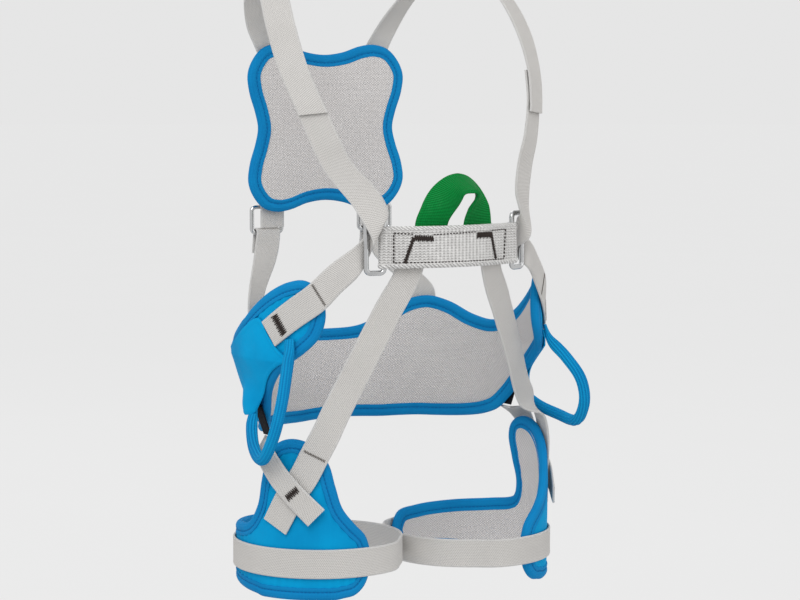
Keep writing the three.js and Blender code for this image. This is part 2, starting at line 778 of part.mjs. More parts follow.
/** Web from the belt to the back plate, turned round the lower bar, with its tail. */
function rearStrap(side) {
  const bar = frameCentre(side).add(vec(0, 0, FRAME.wire - FRAME.height / 2));
  const along = vec(side.sign, -2 * BACK.bow * FRAME.x, 0).normalize();
  const reach = FRAME.wire + LAYER_GAP + WEB_THICK / 2;
  const turns = [0, 45, 90, 135, 180].map((degrees) => {
    const angle = THREE.MathUtils.degToRad(degrees);
    return { centre: bar.clone().add(vec(0, -reach * Math.cos(angle), reach * Math.sin(angle))) };
  });
  const tail = REAR_TAIL.map((row) => ({ centre: bar.clone().add(vec(0, row.out, -row.drop)) }));
  const bridge = { centre: vec(side.sign * REAR_BRIDGE.x, REAR_BRIDGE.y, REAR_BRIDGE.z) };
  const upper = [bridge, ...turns, ...tail].map((row) => ({ ...row, across: along, width: REAR_WIDTH }));
  const rows = [...torsoRows(REAR_RUN, side, REAR_WIDTH, along), ...upper];
  piece(`rear_strap_${side.name}`, ribbon(smoothRows(rows, STRAP_STEPS), WEB_THICK), COLOUR.web);
}

/** How far the hip panel stands off the belt where its hem covers the end of the loop. */
function hemLift(side, turn, z) {
  const round = THREE.MathUtils.smoothstep(HIP_HEM.spread - Math.abs(turn - HIP_HEM.turn), 0, HIP_HEM.spread);
  const down = THREE.MathUtils.smoothstep(HIP_HEM.top - z, 0, HIP_HEM.top - HIP_HEM.bottom);
  return GEAR_HANG[side.name].lift * round * down;
}

/** A round cord along a path, pressed flat against the waist at both ends. */
function pressedCord(path) {
  const reach = path.getLength();
  const sections = Array.from({ length: GEAR.steps + 1 }, (_, i) => {
    const part = i / GEAR.steps;
    const full = THREE.MathUtils.smoothstep(reach * Math.min(part, 1 - part), 0, GEAR.ease);
    const thick = THREE.MathUtils.lerp(GEAR.endThick, GEAR.radius, full);
    const wide = THREE.MathUtils.lerp(GEAR.endWide, GEAR.radius, full);
    const centre = path.getPointAt(part);
    const along = path.getTangentAt(part);
    const away = vec(centre.x / TORSO.halfWidth ** 2, (centre.y - TORSO.centreY) / TORSO.halfDepth ** 2, 0);
    const side = along.clone().cross(away).normalize();
    const out = side.clone().cross(along);
    return Array.from({ length: GEAR.sides }, (__, j) => {
      const angle = (j * 2 * Math.PI) / GEAR.sides;
      return centre.clone()
        .addScaledVector(side, Math.cos(angle) * wide)
        .addScaledVector(out, Math.sin(angle) * thick);
    });
  });
  return loft(sections, false);
}

/** Panel, tape and loop on one hip. */
function hip(side) {
  const place = (turn, z, offset) => onTorso(side.sign * turn, z, offset);
  const hem = (turn, z, offset) => place(turn, z, offset + hemLift(side, turn, z));
  const cells = refined(HIP_COVER.map((row) => ({ x: row.turn, low: row.low, high: row.high })));
  piece(`hip_cover_${side.name}`, wall(cells, hem, HIP_COVER_LAYER), COLOUR.panel);
  const tabRows = [0, 0.5, 1].map((part) => {
    const z = THREE.MathUtils.lerp(HIP_TAB.top, LEG[side.name].tab, part);
    const across = place(HIP_TAB.turn + 1, z, HIP_TAB.offset).sub(place(HIP_TAB.turn - 1, z, HIP_TAB.offset));
    return { centre: place(HIP_TAB.turn, z, HIP_TAB.offset), across, width: HIP_TAB.width };
  });
  piece(`hip_tab_${side.name}`, ribbon(tabRows, HIP_TAB.thick), COLOUR.black);
  const { sag, out } = GEAR_HANG[side.name];
  const path = new THREE.CatmullRomCurve3(GEAR_PATH.map((row) => (
    vec(side.sign * (row.x + out * row.out), row.y, row.z - sag * row.sag)
  )));
  piece(`gear_loop_${side.name}`, pressedCord(path), COLOUR.blue);
}

/** Leg pad, its outer fabric, its rolled edge and the web that closes the loop. */
function leg(side) {
  const turnOf = (distance) => THREE.MathUtils.radToDeg(distance / THIGH.radius);
  const place = (distance, z, offset) => onLeg(side, turnOf(distance), z, offset);
  const distanceOf = (turn) => THREE.MathUtils.degToRad(turn) * THIGH.radius;
  const low = LEG_EDGE.map((row) => [distanceOf(row.turn), row.low]);
  const high = LEG_EDGE.slice(1, -1).reverse().map((row) => [distanceOf(row.turn), row.high]);
  const corners = [...low, ...high];
  const edge = rolledEdge(corners);
  const cells = columns(inset(outlinePoints(corners, FIELD_SPACING), EDGE_INSET), LEG_STEP);
  piece(`leg_pad_${side.name}`, wall(cells, place, PAD), COLOUR.mesh);
  piece(`leg_cover_${side.name}`, wall(cells, place, COVER), COLOUR.blue);
  piece(`leg_binding_${side.name}`, rim(rimPoints(edge, place, BINDING.offset), BINDING), COLOUR.blue);
  const rows = Array.from({ length: LEG_STRAP.steps }, (_, i) => {
    const turn = LEG_STRAP.from + (360 * i) / LEG_STRAP.steps;
    const round = LEG_STRAP.from + 360;
    const off = LEG_STRAP.to - LEG_STRAP.ease / 2;
    const bare = THREE.MathUtils.smoothstep(turn, off, off + LEG_STRAP.ease)
      - THREE.MathUtils.smoothstep(turn, round - LEG_STRAP.ease, round);
    const offset = THREE.MathUtils.lerp(LEG_STRAP.pad, LEG_STRAP.bare, bare);
    return {
      centre: onLeg(side, turn, LEG_STRAP.z, offset),
      across: vec(0, 0, 1),
      width: WEB_WIDTH,
    };
  });
  piece(`leg_strap_${side.name}`, ribbon(rows, WEB_THICK, true), COLOUR.web);
}

/** Riser of one leg: faces forward at the band and outward on the leg pad. */
function riser(side) {
  const { lead, entry } = LEG[side.name];
  const tilt = Math.asin(RISER_TOP[0].x / (BAND.radius - BAND.thick));
  const top = RISER_TOP.map((row) => ({
    centre: vec(side.sign * row.x, row.y, row.z),
    across: vec(side.sign * Math.cos(tilt), Math.sin(tilt), 0),
    width: WEB_WIDTH,
  }));
  const from = top[top.length - 1].centre;
  const to = onLeg(side, lead.turn, lead.z, lead.offset);
  const along = to.clone().sub(from);
  const middle = [...RISER_FACE, { part: 1, turn: lead.face }].map((row) => {
    const angle = THREE.MathUtils.degToRad(row.turn);
    const across = along.clone().cross(vec(side.sign * Math.sin(angle), -Math.cos(angle), 0)).normalize();
    return {
      centre: from.clone().lerp(to, row.part),
      across: across.x * side.sign < 0 ? across.negate() : across,
      width: WEB_WIDTH,
    };
  });
  const outward = vec(side.sign * 0.6, 0.6, 0.5);
  const rows = [...top, ...middle, ...thighRows([entry, ...RISER_LEG], side, WEB_WIDTH, outward)];
  piece(`riser_${side.name}`, ribbon(smoothRows(rows, TWISTED_STEPS), WEB_THICK), COLOUR.web);
}

/** Side web from the hip tape over the leg pad and the riser. */
function sideStrap(side) {
  const { tab, side: over } = LEG[side.name];
  const start = tab - SIDE_START_DROP;
  const place = (angle) => onTorso(side.sign * angle, start, HIP_TAB.offset);
  const first = {
    centre: place(HIP_TAB.turn),
    across: place(HIP_TAB.turn + 1).sub(place(HIP_TAB.turn - 1)).normalize(),
    width: HIP_TAB.width,
  };
  const forward = vec(0, -0.9, 0.4);
  const rows = [first, ...thighRows([over, ...SIDE_LEG], side, SIDE_WIDTH, forward)];
  piece(`side_strap_${side.name}`, ribbon(smoothRows(rows, TWISTED_STEPS), WEB_THICK), COLOUR.web);
}

frontBand();
tieInLoop();
belt();
backPlate();
for (const side of [{ name: 'left', sign: 1 }, { name: 'right', sign: -1 }]) {
  frontRing(side);
  chestStrap(side);
  shoulderStrap(side);
  backBuckle(side);
  rearStrap(side);
  hip(side);
  leg(side);
  riser(side);
  sideStrap(side);
}

export default group;
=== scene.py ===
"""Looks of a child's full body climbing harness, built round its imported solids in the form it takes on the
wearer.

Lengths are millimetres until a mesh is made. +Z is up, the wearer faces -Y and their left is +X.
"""

import logging
import math
from dataclasses import dataclass, field
from enum import Enum
from functools import partial
from typing import Any, Callable, Sequence

import bpy
import numpy as np
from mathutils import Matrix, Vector


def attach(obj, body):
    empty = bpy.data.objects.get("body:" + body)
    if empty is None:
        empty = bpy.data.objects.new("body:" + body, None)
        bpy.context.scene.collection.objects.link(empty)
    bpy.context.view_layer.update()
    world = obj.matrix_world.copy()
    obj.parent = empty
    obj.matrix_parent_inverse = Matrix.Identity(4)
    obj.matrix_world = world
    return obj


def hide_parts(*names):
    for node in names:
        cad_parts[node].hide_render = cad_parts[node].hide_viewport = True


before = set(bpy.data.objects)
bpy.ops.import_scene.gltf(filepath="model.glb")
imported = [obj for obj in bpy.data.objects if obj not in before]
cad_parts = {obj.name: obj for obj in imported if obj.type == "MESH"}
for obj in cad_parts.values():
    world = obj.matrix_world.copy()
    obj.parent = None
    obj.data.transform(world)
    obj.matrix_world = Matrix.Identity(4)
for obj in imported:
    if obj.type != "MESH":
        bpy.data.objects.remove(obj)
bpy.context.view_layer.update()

LOG = logging.getLogger("harness")
MM = 0.001
TAU = 2 * math.pi
WEAVE_MAP = "weave"
SHARP_DEG = 48.0

Array = np.ndarray
Place = Callable[[Any, Any, Any], Array]
Colour = tuple[float, float, float, float]
Span = tuple[float, float]
Triple = tuple[float, float, float]

# Webbing and the layers of a padded piece, as offsets from the side that touches the wearer
WEB_WIDTH = 21.0
WEB_THICK = 1.5
REAR_WIDTH = 21.0
SIDE_WIDTH = 17.0
LAYER_GAP = 0.45
PAD_OUTER = 5.0
COVER_INNER = 5.2
COVER_OUTER = 6.3
STRAP_OFFSET = 7.8
STACKED_OFFSET = STRAP_OFFSET + WEB_THICK + 4 * LAYER_GAP
SHOULDER_OFFSET = 8.2
ROW_SPACING = 2.0

# Points across a strap: places on a selvedge and their heights, and the flat part between the selvedges
LIP_PLACES = (0, 0.5, 1, 1.5)
LIP_HEIGHTS = (0.5, 1, 0.6)
FLAT_SHARE = 0.7
FLAT_POINTS = 8
EDGE_DEG = (60, 30, 0, -30, -60)

# Thread and wire
TACK_LIFT = 0.2
THREAD_SIDES = 6
THREAD_PLACES = (0.0, 0.14, 0.5, 0.86, 1.0)
THREAD_SWELL = (0.35, 0.9, 1.0, 0.9, 0.35)
WIRE_STEP = 0.7
WIRE_SIDES = 20
CORNER_STEPS = 11
# Strokes of a zigzag: their usual length, and how much and how fast it wavers
STROKE = 0.86
STROKE_WAVER = 0.2
STROKE_WAVES = (2.3, 0.71)

# Settings of the cloth simulation that fills a padded piece, and its steps
FILLING = {
    "quality": 4,
    "mass": 0.15,
    "tension_stiffness": 12,
    "compression_stiffness": 12,
    "shear_stiffness": 4,
    "bending_stiffness": 0.6,
    "use_pressure": True,
}
FILLING_STEPS = 20

# Knots closer than this are one place
SAME_PLACE = 1e-4
# Columns of a padded field stay this far inside its two ends, and are closer together there
COLUMN_MARGIN = 0.15
COLUMN_LEAD = (0.0, 0.12, 0.35)
# Samples of an outline between two of its corners, and of a strap between two of its rows
CORNER_SAMPLES = 40
ROW_SAMPLES = 24
# Samples of a gear loop's path, and of an edge of a hip panel
PATH_SAMPLES = 400
PANEL_SAMPLES = 300
# Ribs round the sleeve of a gear loop, and its radius
CORD_RIBS = 11
CORD_RADIUS = 4.3


class Side(Enum):
    """The two sides of the wearer."""

    LEFT = 1
    RIGHT = -1

    @property
    def label(self) -> str:
        """The word that ends the names of this side's pieces."""
        return self.name.lower()


def unit(vectors: Array) -> Array:
    """Vectors scaled to length one."""
    return vectors / np.linalg.norm(vectors, axis=-1, keepdims=True)


def smoothstep(value: Any, low: float, high: float) -> Array:
    """A smooth rise from 0 at low to 1 at high."""
    share = np.clip((np.asarray(value, float) - low) / (high - low), 0, 1)
    return share * share * (3 - 2 * share)


def catmull_rom(points: Any, count: int, closed: bool = False) -> Array:
    """Samples a centripetal curve through points, evenly in its parameter.

    Args:
        points: The points, one row each.
        count: How many intervals the whole curve is cut into.
        closed: Whether the curve returns to its first point.

    Returns:
        The samples, without a repeated last point where the curve is closed.
    """
    knots = np.asarray(points, float)
    total = len(knots)
    spans = total if closed else total - 1
    place = np.linspace(0, spans, count + 1)
    if closed:
        place = place[:-1]
    first = np.minimum(place.astype(int), spans - 1)
    share = (place - first)[:, None]
    before, after = 2 * knots[0] - knots[1], 2 * knots[-1] - knots[-2]
    padded = knots if closed else np.vstack([before, knots, after])
    start = 0 if closed else 1

    def knot(step: int) -> Array:
        """The knots that lie so many steps from the start of each span."""
        index = first + step + start
        return padded[index % total] if closed else padded[index]

    p0, p1, p2, p3 = (knot(step) for step in (-1, 0, 1, 2))

    def pace(a: Array, b: Array) -> Array:
        """The parameter distance between two knots."""
        return (np.sum((b - a) ** 2, axis=1) ** 0.25)[:, None]

    d1 = pace(p1, p2)
    d1 = np.where(d1 < SAME_PLACE, 1, d1)
    d0, d2 = (np.where(d < SAME_PLACE, d1, d) for d in (pace(p0, p1), pace(p2, p3)))
    t1 = ((p1 - p0) / d0 - (p2 - p0) / (d0 + d1) + (p2 - p1) / d1) * d1
    t2 = ((p2 - p1) / d1 - (p3 - p1) / (d1 + d2) + (p3 - p2) / d2) * d1
    square = -3 * p1 + 3 * p2 - 2 * t1 - t2
    cube = 2 * p1 - 2 * p2 + t1 + t2
    return p1 + share * (t1 + share * (square + share * cube))


def lengths(points: Array) -> Array:
    """Distance along a line of points at each of them."""
    steps = np.linalg.norm(np.diff(points[:, :3], axis=0), axis=1)
    return np.concatenate([[0.0], np.cumsum(steps)])


def spaced(points: Array, spacing: float, closed: bool = False) -> Array:
    """Points at even distances along a line; columns past the third are carried along.

    Args:
        points: The line, one row for each point.
        spacing: Distance from point to point, about.
        closed: Whether the line returns to its first point.

    Returns:
        The new points, without a repeated last one.
    """
    line = np.vstack([points, points[:1]]) if closed else points
    run = lengths(line)
    count = max(2, round(run[-1] / spacing))
    stops = np.linspace(0, run[-1], count + 1)
    if closed:
        stops = stops[:-1]
    return np.stack([np.interp(stops, run, column) for column in line.T], axis=1)


@dataclass
class Shape:
    """A closed surface in millimetres with the place of each corner on the cloth, in metres."""

    points: Array
    quads: Array
    weave: Array
    caps: list[list[int]] = field(default_factory=list)

    def outward(self) -> "Shape":
        """The same surface with its faces turned outward.

        Returns:
            This surface or a turned copy.
        """
        a, b, c, d = (self.points[self.quads[:, i]] for i in range(4))
        volume = np.sum(a * np.cross(b, c)) + np.sum(a * np.cross(c, d))
        for cap in self.caps:
            ring = self.points[cap]
            volume += np.sum(ring[0] * np.cross(ring[1:-1], ring[2:]))
        if volume >= 0:
            return self
        caps = [cap[::-1] for cap in self.caps]
        return Shape(self.points, self.quads[:, ::-1], self.weave[:, ::-1], caps)

    @staticmethod
    def joined(shapes: Sequence["Shape"]) -> "Shape":
        """Several surfaces as one.

        Args:
            shapes: The surfaces.

        Returns:
            One surface with all their faces.
        """
        starts = np.cumsum([0] + [len(s.points) for s in shapes[:-1]])
        return Shape(
            np.vstack([s.points for s in shapes]),
            np.vstack([s.quads + start for s, start in zip(shapes, starts)]),
            np.vstack([s.weave for s in shapes]),
            [[int(i + start) for i in cap] for s, start in zip(shapes, starts) for cap in s.caps],
        )


def loft(rings: Array, weave: Array, closed: bool = False) -> Shape:
    """Joins closed sections in order.

    Args:
        rings: Sections of equal count, as sections by points by 3.
        weave: Place on the cloth, with one more column, and one more row where closed.
        closed: Whether the last section joins the first, or both ends are capped.

    Returns:
        The surface, facing out.
    """
    count, around, _ = rings.shape
    last = count if closed else count - 1
    i, j = np.meshgrid(np.arange(last), np.arange(around), indexing="ij")
    ni, nj = (i + 1) % count, (j + 1) % around
    quads = np.stack([i * around + j, i * around + nj, ni * around + nj, ni * around + j], axis=-1)
    corners = np.stack([weave[i, j], weave[i, j + 1], weave[i + 1, j + 1], weave[i + 1, j]], axis=2)
    end = (count - 1) * around
    caps = [] if closed else [list(range(around))[::-1], list(range(end, end + around))]
    return Shape(rings.reshape(-1, 3), quads.reshape(-1, 4), corners.reshape(-1, 4, 2), caps).outward()


def border(grid: Array) -> Array:
    """What lies along the edge of a grid, in order."""
    return np.concatenate([grid[:-1, 0], grid[-1, :-1], grid[:0:-1, -1], grid[0, :0:-1]])


def weave_grid(run: Array, girth: Array) -> Array:
    """Place on the cloth for each distance along and around, in metres."""
    return np.stack(np.meshgrid(run, girth, indexing="ij"), axis=-1) * MM


def slab(inner: Array, outer: Array, weave: Array) -> Shape:
    """Closes two grids of the same size along their border.

    Args:
        inner: One face, as columns by rows by 3.
        outer: The other face.
        weave: Place on the cloth of both.

    Returns:
        The closed surface. The inner face's points come first, in order.
    """
    columns, rows, _ = inner.shape
    index = np.arange(columns * rows).reshape(columns, rows)
    flat = weave.reshape(-1, 2)
    face = np.stack([index[:-1, :-1], index[1:, :-1], index[1:, 1:], index[:-1, 1:]], axis=-1).reshape(-1, 4)
    edge = border(index)
    after = np.roll(edge, -1)
    back = columns * rows
    sides = np.stack([after, edge, edge + back, after + back], axis=-1)
    quads = np.vstack([face, face[:, ::-1] + back, sides])
    return Shape(np.vstack([inner.reshape(-1, 3), outer.reshape(-1, 3)]), quads, flat[quads % back]).outward()


def stitches(starts: Array, ends: Array, normals: Array, radius: float) -> Shape:
    """Threads laid from start to end points, each a short rounded bead.

    Args:
        starts: First point of each thread.
        ends: Last point of each thread.
        normals: Direction away from the cloth at each thread.
        radius: Thickness of the thread, halved.

    Returns:
        All threads as one surface.
    """
    shares, swell = np.array(THREAD_PLACES), np.array(THREAD_SWELL)
    angle = np.arange(THREAD_SIDES) * TAU / THREAD_SIDES
    girth = np.append(angle, TAU) * radius
    reach = ends - starts
    sides = unit(np.cross(reach, normals))
    lift = unit(np.cross(sides, reach))
    ring = np.cos(angle)[:, None] * sides[:, None] + np.sin(angle)[:, None] * lift[:, None]
    middle = starts[:, None] + shares[:, None] * reach[:, None]
    rings = middle[:, :, None] + radius * swell[:, None, None] * ring[:, None]
    runs = np.linalg.norm(reach, axis=1)
    return Shape.joined([loft(r, weave_grid(shares * run, girth)) for r, run in zip(rings, runs)])


def zigzag(start: Sequence[float], end: Sequence[float], width: float, pitch: float) -> Array:
    """Points of a slightly ragged zigzag along a line on a flat cloth.

    Args:
        start: Where the line starts.
        end: Where it ends.
        width: Full width of the zigzag.
        pitch: Advance of one stroke.

    Returns:
        The turning points in order.
    """
    a, b = np.asarray(start, float), np.asarray(end, float)
    along = b - a
    count = max(2, round(float(np.linalg.norm(along)) / pitch))
    square = np.array([-along[1], along[0]]) / np.linalg.norm(along)
    share = np.linspace(0, 1, count + 1)[:, None]
    index = np.arange(count + 1)
    ragged = STROKE + STROKE_WAVER * np.sin(index * STROKE_WAVES[0]) * np.sin(index * STROKE_WAVES[1])
    sway = np.where(index % 2 == 0, -0.5, 0.5) * ragged
    return a + share * along + sway[:, None] * width * square


def dashes(start: Sequence[float], end: Sequence[float], pitch: float, share: float) -> tuple[Array, Array]:
    """Start and end points of a row of stitches on a flat cloth.

    Args:
        start: Where the row starts.
        end: Where it ends.
        pitch: Distance from stitch to stitch.
        share: How much of that a stitch takes.

    Returns:
        The start points and the end points.
    """
    a, b = np.asarray(start, float), np.asarray(end, float)
    count = max(1, round(float(np.linalg.norm(b - a)) / pitch))
    first = np.arange(count)[:, None] / count
    return a + (b - a) * first, a + (b - a) * (first + share / count)


class Value:
    """A node's output that takes part in arithmetic."""

    def __init__(self, sheet: "NodeSheet", socket: bpy.types.NodeSocket) -> None:
        """Keeps the output and the tree that it is in."""
        self.sheet = sheet
        self.socket = socket

    def _math(self, operation: str, *terms: Any) -> "Value":
        """A Math node on these terms."""
        return self.sheet.node("ShaderNodeMath", {"operation": operation}, dict(enumerate(terms)))

    def __add__(self, other: Any) -> "Value":
        """self + other."""
        return self._math("ADD", self, other)

    def __sub__(self, other: Any) -> "Value":
        """self - other."""
        return self._math("SUBTRACT", self, other)

    def __rsub__(self, other: Any) -> "Value":
        """other - self."""
        return self._math("SUBTRACT", other, self)

    def __mul__(self, other: Any) -> "Value":
        """self * other."""
        return self._math("MULTIPLY", self, other)

    def __truediv__(self, other: Any) -> "Value":
        """self / other."""
        return self._math("DIVIDE", self, other)

    def __rtruediv__(self, other: Any) -> "Value":
        """other / self."""
        return self._math("DIVIDE", other, self)

    def __abs__(self) -> "Value":
        """The size without the sign."""
        return self._math("ABSOLUTE", self)

    __radd__ = __add__
    __rmul__ = __mul__

    def wave(self) -> "Value":
        """A wave from 0 to 1 that repeats with each whole number."""
        return self._math("SINE", self * TAU) * 0.5 + 0.5

    def fract(self) -> "Value":
        """The part after the point."""
        return self._math("FRACT", self)

    def least(self, other: Any) -> "Value":
        """The smaller of two."""
        return self._math("MINIMUM", self, other)

    def rise(self, low: float, high: float) -> "Value":
        """A smooth rise from 0 at low to 1 at high."""
        sockets = {"Value": self, "From Min": low, "From Max": high}
        return self.sheet.node("ShaderNodeMapRange", {"interpolation_type": "SMOOTHSTEP"}, sockets)


class NodeSheet:
    """The node tree of one material."""

    def __init__(self, name: str) -> None:
        """Makes the material with a bare shader.

        Args:
            name: The material's name.
        """
        self.material = bpy.data.materials.new(name)
        self.material.use_nodes = True
        self.tree = self.material.node_tree
        self.shader = self.tree.nodes["Principled BSDF"]

    def node(self, kind: str, settings: dict[str, Any], sockets: dict[Any, Any], output: int = 0) -> Value:
        """Adds one node.

        Args:
            kind: The node's type.
            settings: Its own settings, set first.
            sockets: Values or links of its inputs.
            output: Which output to return.

        Returns:
            The chosen output.
        """
        made = self.tree.nodes.new(kind)
        for key, value in settings.items():
            setattr(made, key, value)
        for key, value in sockets.items():
            self.feed(made.inputs[key], value)
        return Value(self, made.outputs[output])

    def feed(self, socket: bpy.types.NodeSocket, value: Any) -> None:
        """Links a value to a socket, or sets a plain number or colour on it.

        Args:
            socket: A node's input.
            value: A node's output, a number or a colour.
        """
        if isinstance(value, Value):
            self.tree.links.new(value.socket, socket)
        else:
            socket.default_value = value

    def cloth(self) -> tuple[Value, Value]:
        """Place on the cloth in millimetres, along and across.

        Returns:
            Both distances.
        """
        place = self.node("ShaderNodeUVMap", {"uv_map": WEAVE_MAP}, {})
        along, across = (self.node("ShaderNodeSeparateXYZ", {}, {"Vector": place}, i) for i in range(2))
        return along / MM, across / MM

    def noise(self, scale: float, detail: float) -> Value:
        """Soft variation over the object, with so many features to a metre.

        Args:
            scale: Features to a metre.
            detail: How fine the smallest are.

        Returns:
            A value from 0 to 1.
        """
        place = self.node("ShaderNodeTexCoord", {}, {}, 3)
        sockets = {"Vector": place, "Scale": scale, "Detail": detail}
        return self.node("ShaderNodeTexNoise", {}, sockets)

    def mix(self, share: Any, a: Any, b: Any) -> Value:
        """Blends two colours."""
        return self.node("ShaderNodeMix", {"data_type": "RGBA"}, {0: share, 6: a, 7: b}, 2)

    def bump(self, height: Value, depth: float) -> Value:
        """Normal of a relief of that depth in millimetres."""
        return self.node("ShaderNodeBump", {}, {"Height": height, "Distance": depth * MM, "Strength": 1.0})

    def dress(self, **sockets: Any) -> bpy.types.Material:
        """Sets the shader's inputs, underscores standing for spaces, and returns the material.

        Args:
            **sockets: Values or links by the input's name.

        Returns:
            The material.
        """
        for key, value in sockets.items():
            self.feed(self.shader.inputs[key.replace("_", " ")], value)
        return self.material


@dataclass(frozen=True)
class Patches:
    """Soft uneven places: features to a metre, their detail, where they start and their strength."""

    scale: float
    detail: float
    start: float
    share: float

    def over(self, sheet: NodeSheet, colour: Value, tint: Colour) -> Value:
        """A colour with a tint in these places."""
        return sheet.mix((sheet.noise(self.scale, self.detail) - self.start) * self.share, colour, tint)


@dataclass(frozen=True)
class Finish:
    """A material of the harness, with the word of a slot beside its own name."""

    name: str
    slot: str
    roughness: float = 0.8
    smoothing: float = 0.1
    specular: float = 0.15
    depth: float = 0.3

    def material(self) -> bpy.types.Material:
        """Makes the material."""
        raise NotImplementedError

    def woven(self, sheet: NodeSheet, colour: Value, height: Value) -> bpy.types.Material:
        """Dresses a cloth that is a little smoother on its heights.

        Args:
            sheet: The material's nodes.
            colour: Its colour.
            height: Its relief, from 0 to 1.

        Returns:
            The material.
        """
        return sheet.dress(
            Base_Color=colour,
            Roughness=self.roughness - height * self.smoothing,
            Normal=sheet.bump(height, self.depth),
            Specular_IOR_Level=self.specular,
        )


@dataclass(frozen=True)
class Webbing(Finish):
    """Flat woven strap: slanting picks between warp columns, with a plain selvedge at both edges."""

    roughness: float = 0.82
    depth: float = 0.32
    pale: Colour = (0.60, 0.585, 0.565, 1)
    gap: Colour = (0.41, 0.397, 0.38, 1)
    selvedge: Colour = (0.69, 0.68, 0.665, 1)
    pick: float = 1.35
    column: float = 1.15
    slant: float = 0.5
    pick_share: float = 0.62
    lit: Span = (0.12, 0.62)
    half: float = WEB_WIDTH / 2
    edge: float = 1.1
    edge_blend: float = 0.35
    edge_share: float = 0.85
    patches: Patches = Patches(38, 4, 0.42, 0.5)

    def material(self) -> bpy.types.Material:
        """Makes the material.

        Returns:
            The material, with its nodes.
        """
        sheet = NodeSheet(self.name)
        along, across = sheet.cloth()
        column = across / self.column
        picks = (along / self.pick + column * self.slant).wave()
        body = picks * self.pick_share + column.wave() * (1 - self.pick_share)
        inside = self.half - self.edge
        rim = abs(across).rise(inside - self.edge_blend, inside)
        ribs = (along / (self.pick / 2)).wave()
        cloth = sheet.mix(body.rise(*self.lit), self.gap, self.pale)
        cloth = sheet.mix(rim * self.edge_share, cloth, self.selvedge)
        cloth = self.patches.over(sheet, cloth, self.gap)
        return self.woven(sheet, cloth, body * (1 - rim) + ribs * rim)


@dataclass(frozen=True)
class BandWebbing(Finish):
    """Stiff cross-ribbed webbing of the front band, paler at its rolled edges."""

    smoothing: float = 0.12
    depth: float = 0.8
    pale: Colour = (0.70, 0.692, 0.68, 1)
    gap: Colour = (0.33, 0.322, 0.313, 1)
    lip: Colour = (0.76, 0.755, 0.745, 1)
    rib: float = 1.9
    rib_sway: float = 0.45
    column: float = 3.0
    pick: Span = (3.1, 2.4)
    centre: float = 50.3
    middle: Span = (14, 30)
    warp_share: float = 0.35
    middle_share: float = 0.3
    half: float = 14.75
    edge: float = 2.6
    edge_blend: float = 0.3
    grain: Span = (420, 2)
    grain_lit: Span = (0.3, 0.7)
    grain_share: float = 0.25
    rib_grain: float = 0.5
    pick_grain: float = 0.7
    lit: Span = (0.0, 0.55)
    lip_lit: Span = (0.0, 0.5)
    lip_share: float = 0.8
    patches: Patches = Patches(55, 4, 0.45, 0.45)

    def material(self) -> bpy.types.Material:
        """Makes the material.

        Returns:
            The material, with its nodes.
        """
        sheet = NodeSheet(self.name)
        along, across = sheet.cloth()
        warp = (along / self.column).wave()
        grain = sheet.noise(*self.grain)
        weft = (across / self.rib + warp * self.rib_sway + grain * self.rib_grain).wave()
        middle = 1 - abs(along - self.centre).rise(*self.middle)
        share = self.warp_share + middle * self.middle_share
        body = weft * (1 - share) + warp * share
        inside = self.half - self.edge
        rim = abs(across).rise(inside - self.edge_blend, inside + self.edge_blend)
        picks = (along / self.pick[0] + across / self.pick[1] + grain * self.pick_grain).wave()
        lit = body.rise(*self.lit) * (1 - self.grain_share) + grain.rise(*self.grain_lit) * self.grain_share
        lip_lit = picks.rise(*self.lip_lit) * self.lip_share + (1 - self.lip_share)
        cloth = sheet.mix(lit, self.gap, self.pale)
        cloth = sheet.mix(rim, cloth, sheet.mix(lip_lit, self.gap, self.lip))
        cloth = self.patches.over(sheet, cloth, self.gap)
        return self.woven(sheet, cloth, body * (1 - rim) + picks * rim)


@dataclass(frozen=True)
class RibbedWebbing(Finish):
    """Thick dyed webbing with weft ribs across it, a little paler on the tops of the ribs in soft patches."""

    roughness: float = 0.72
    smoothing: float = 0.14
    specular: float = 0.1
    depth: float = 0.42
    deep: Colour = (0.0, 0.105, 0.016, 1)
    bright: Colour = (0.0, 0.235, 0.042, 1)
    # Paler green of the rib tops in the soft patches
    worn: Colour = (0.06, 0.36, 0.13, 1)
    rib: float = 1.15
    column: float = 1.6
    rib_share: float = 0.75
    lit: Span = (0.05, 0.75)
    pale_rib_tops: Span = (0.75, 1.0)
    pale_patch_scale: Span = (60, 4)
    pale_patch_places: Span = (0.5, 0.75)
    pale_patch_share: float = 0.45

    def material(self) -> bpy.types.Material:
        """Makes the material.

        Returns:
            The material, with its nodes.
        """
        sheet = NodeSheet(self.name)
        along, across = sheet.cloth()
        ribs = (along / self.rib).wave()
        warp = (across / self.column).wave()
        height = ribs * self.rib_share + warp * (1 - self.rib_share)
        cloth = sheet.mix(height.rise(*self.lit), self.deep, self.bright)
        # Soft patches where the tops of the ribs take the paler green
        pale_ribs = ribs.rise(*self.pale_rib_tops) * sheet.noise(*self.pale_patch_scale).rise(*self.pale_patch_places)
        return self.woven(sheet, sheet.mix(pale_ribs * self.pale_patch_share, cloth, self.worn), height)


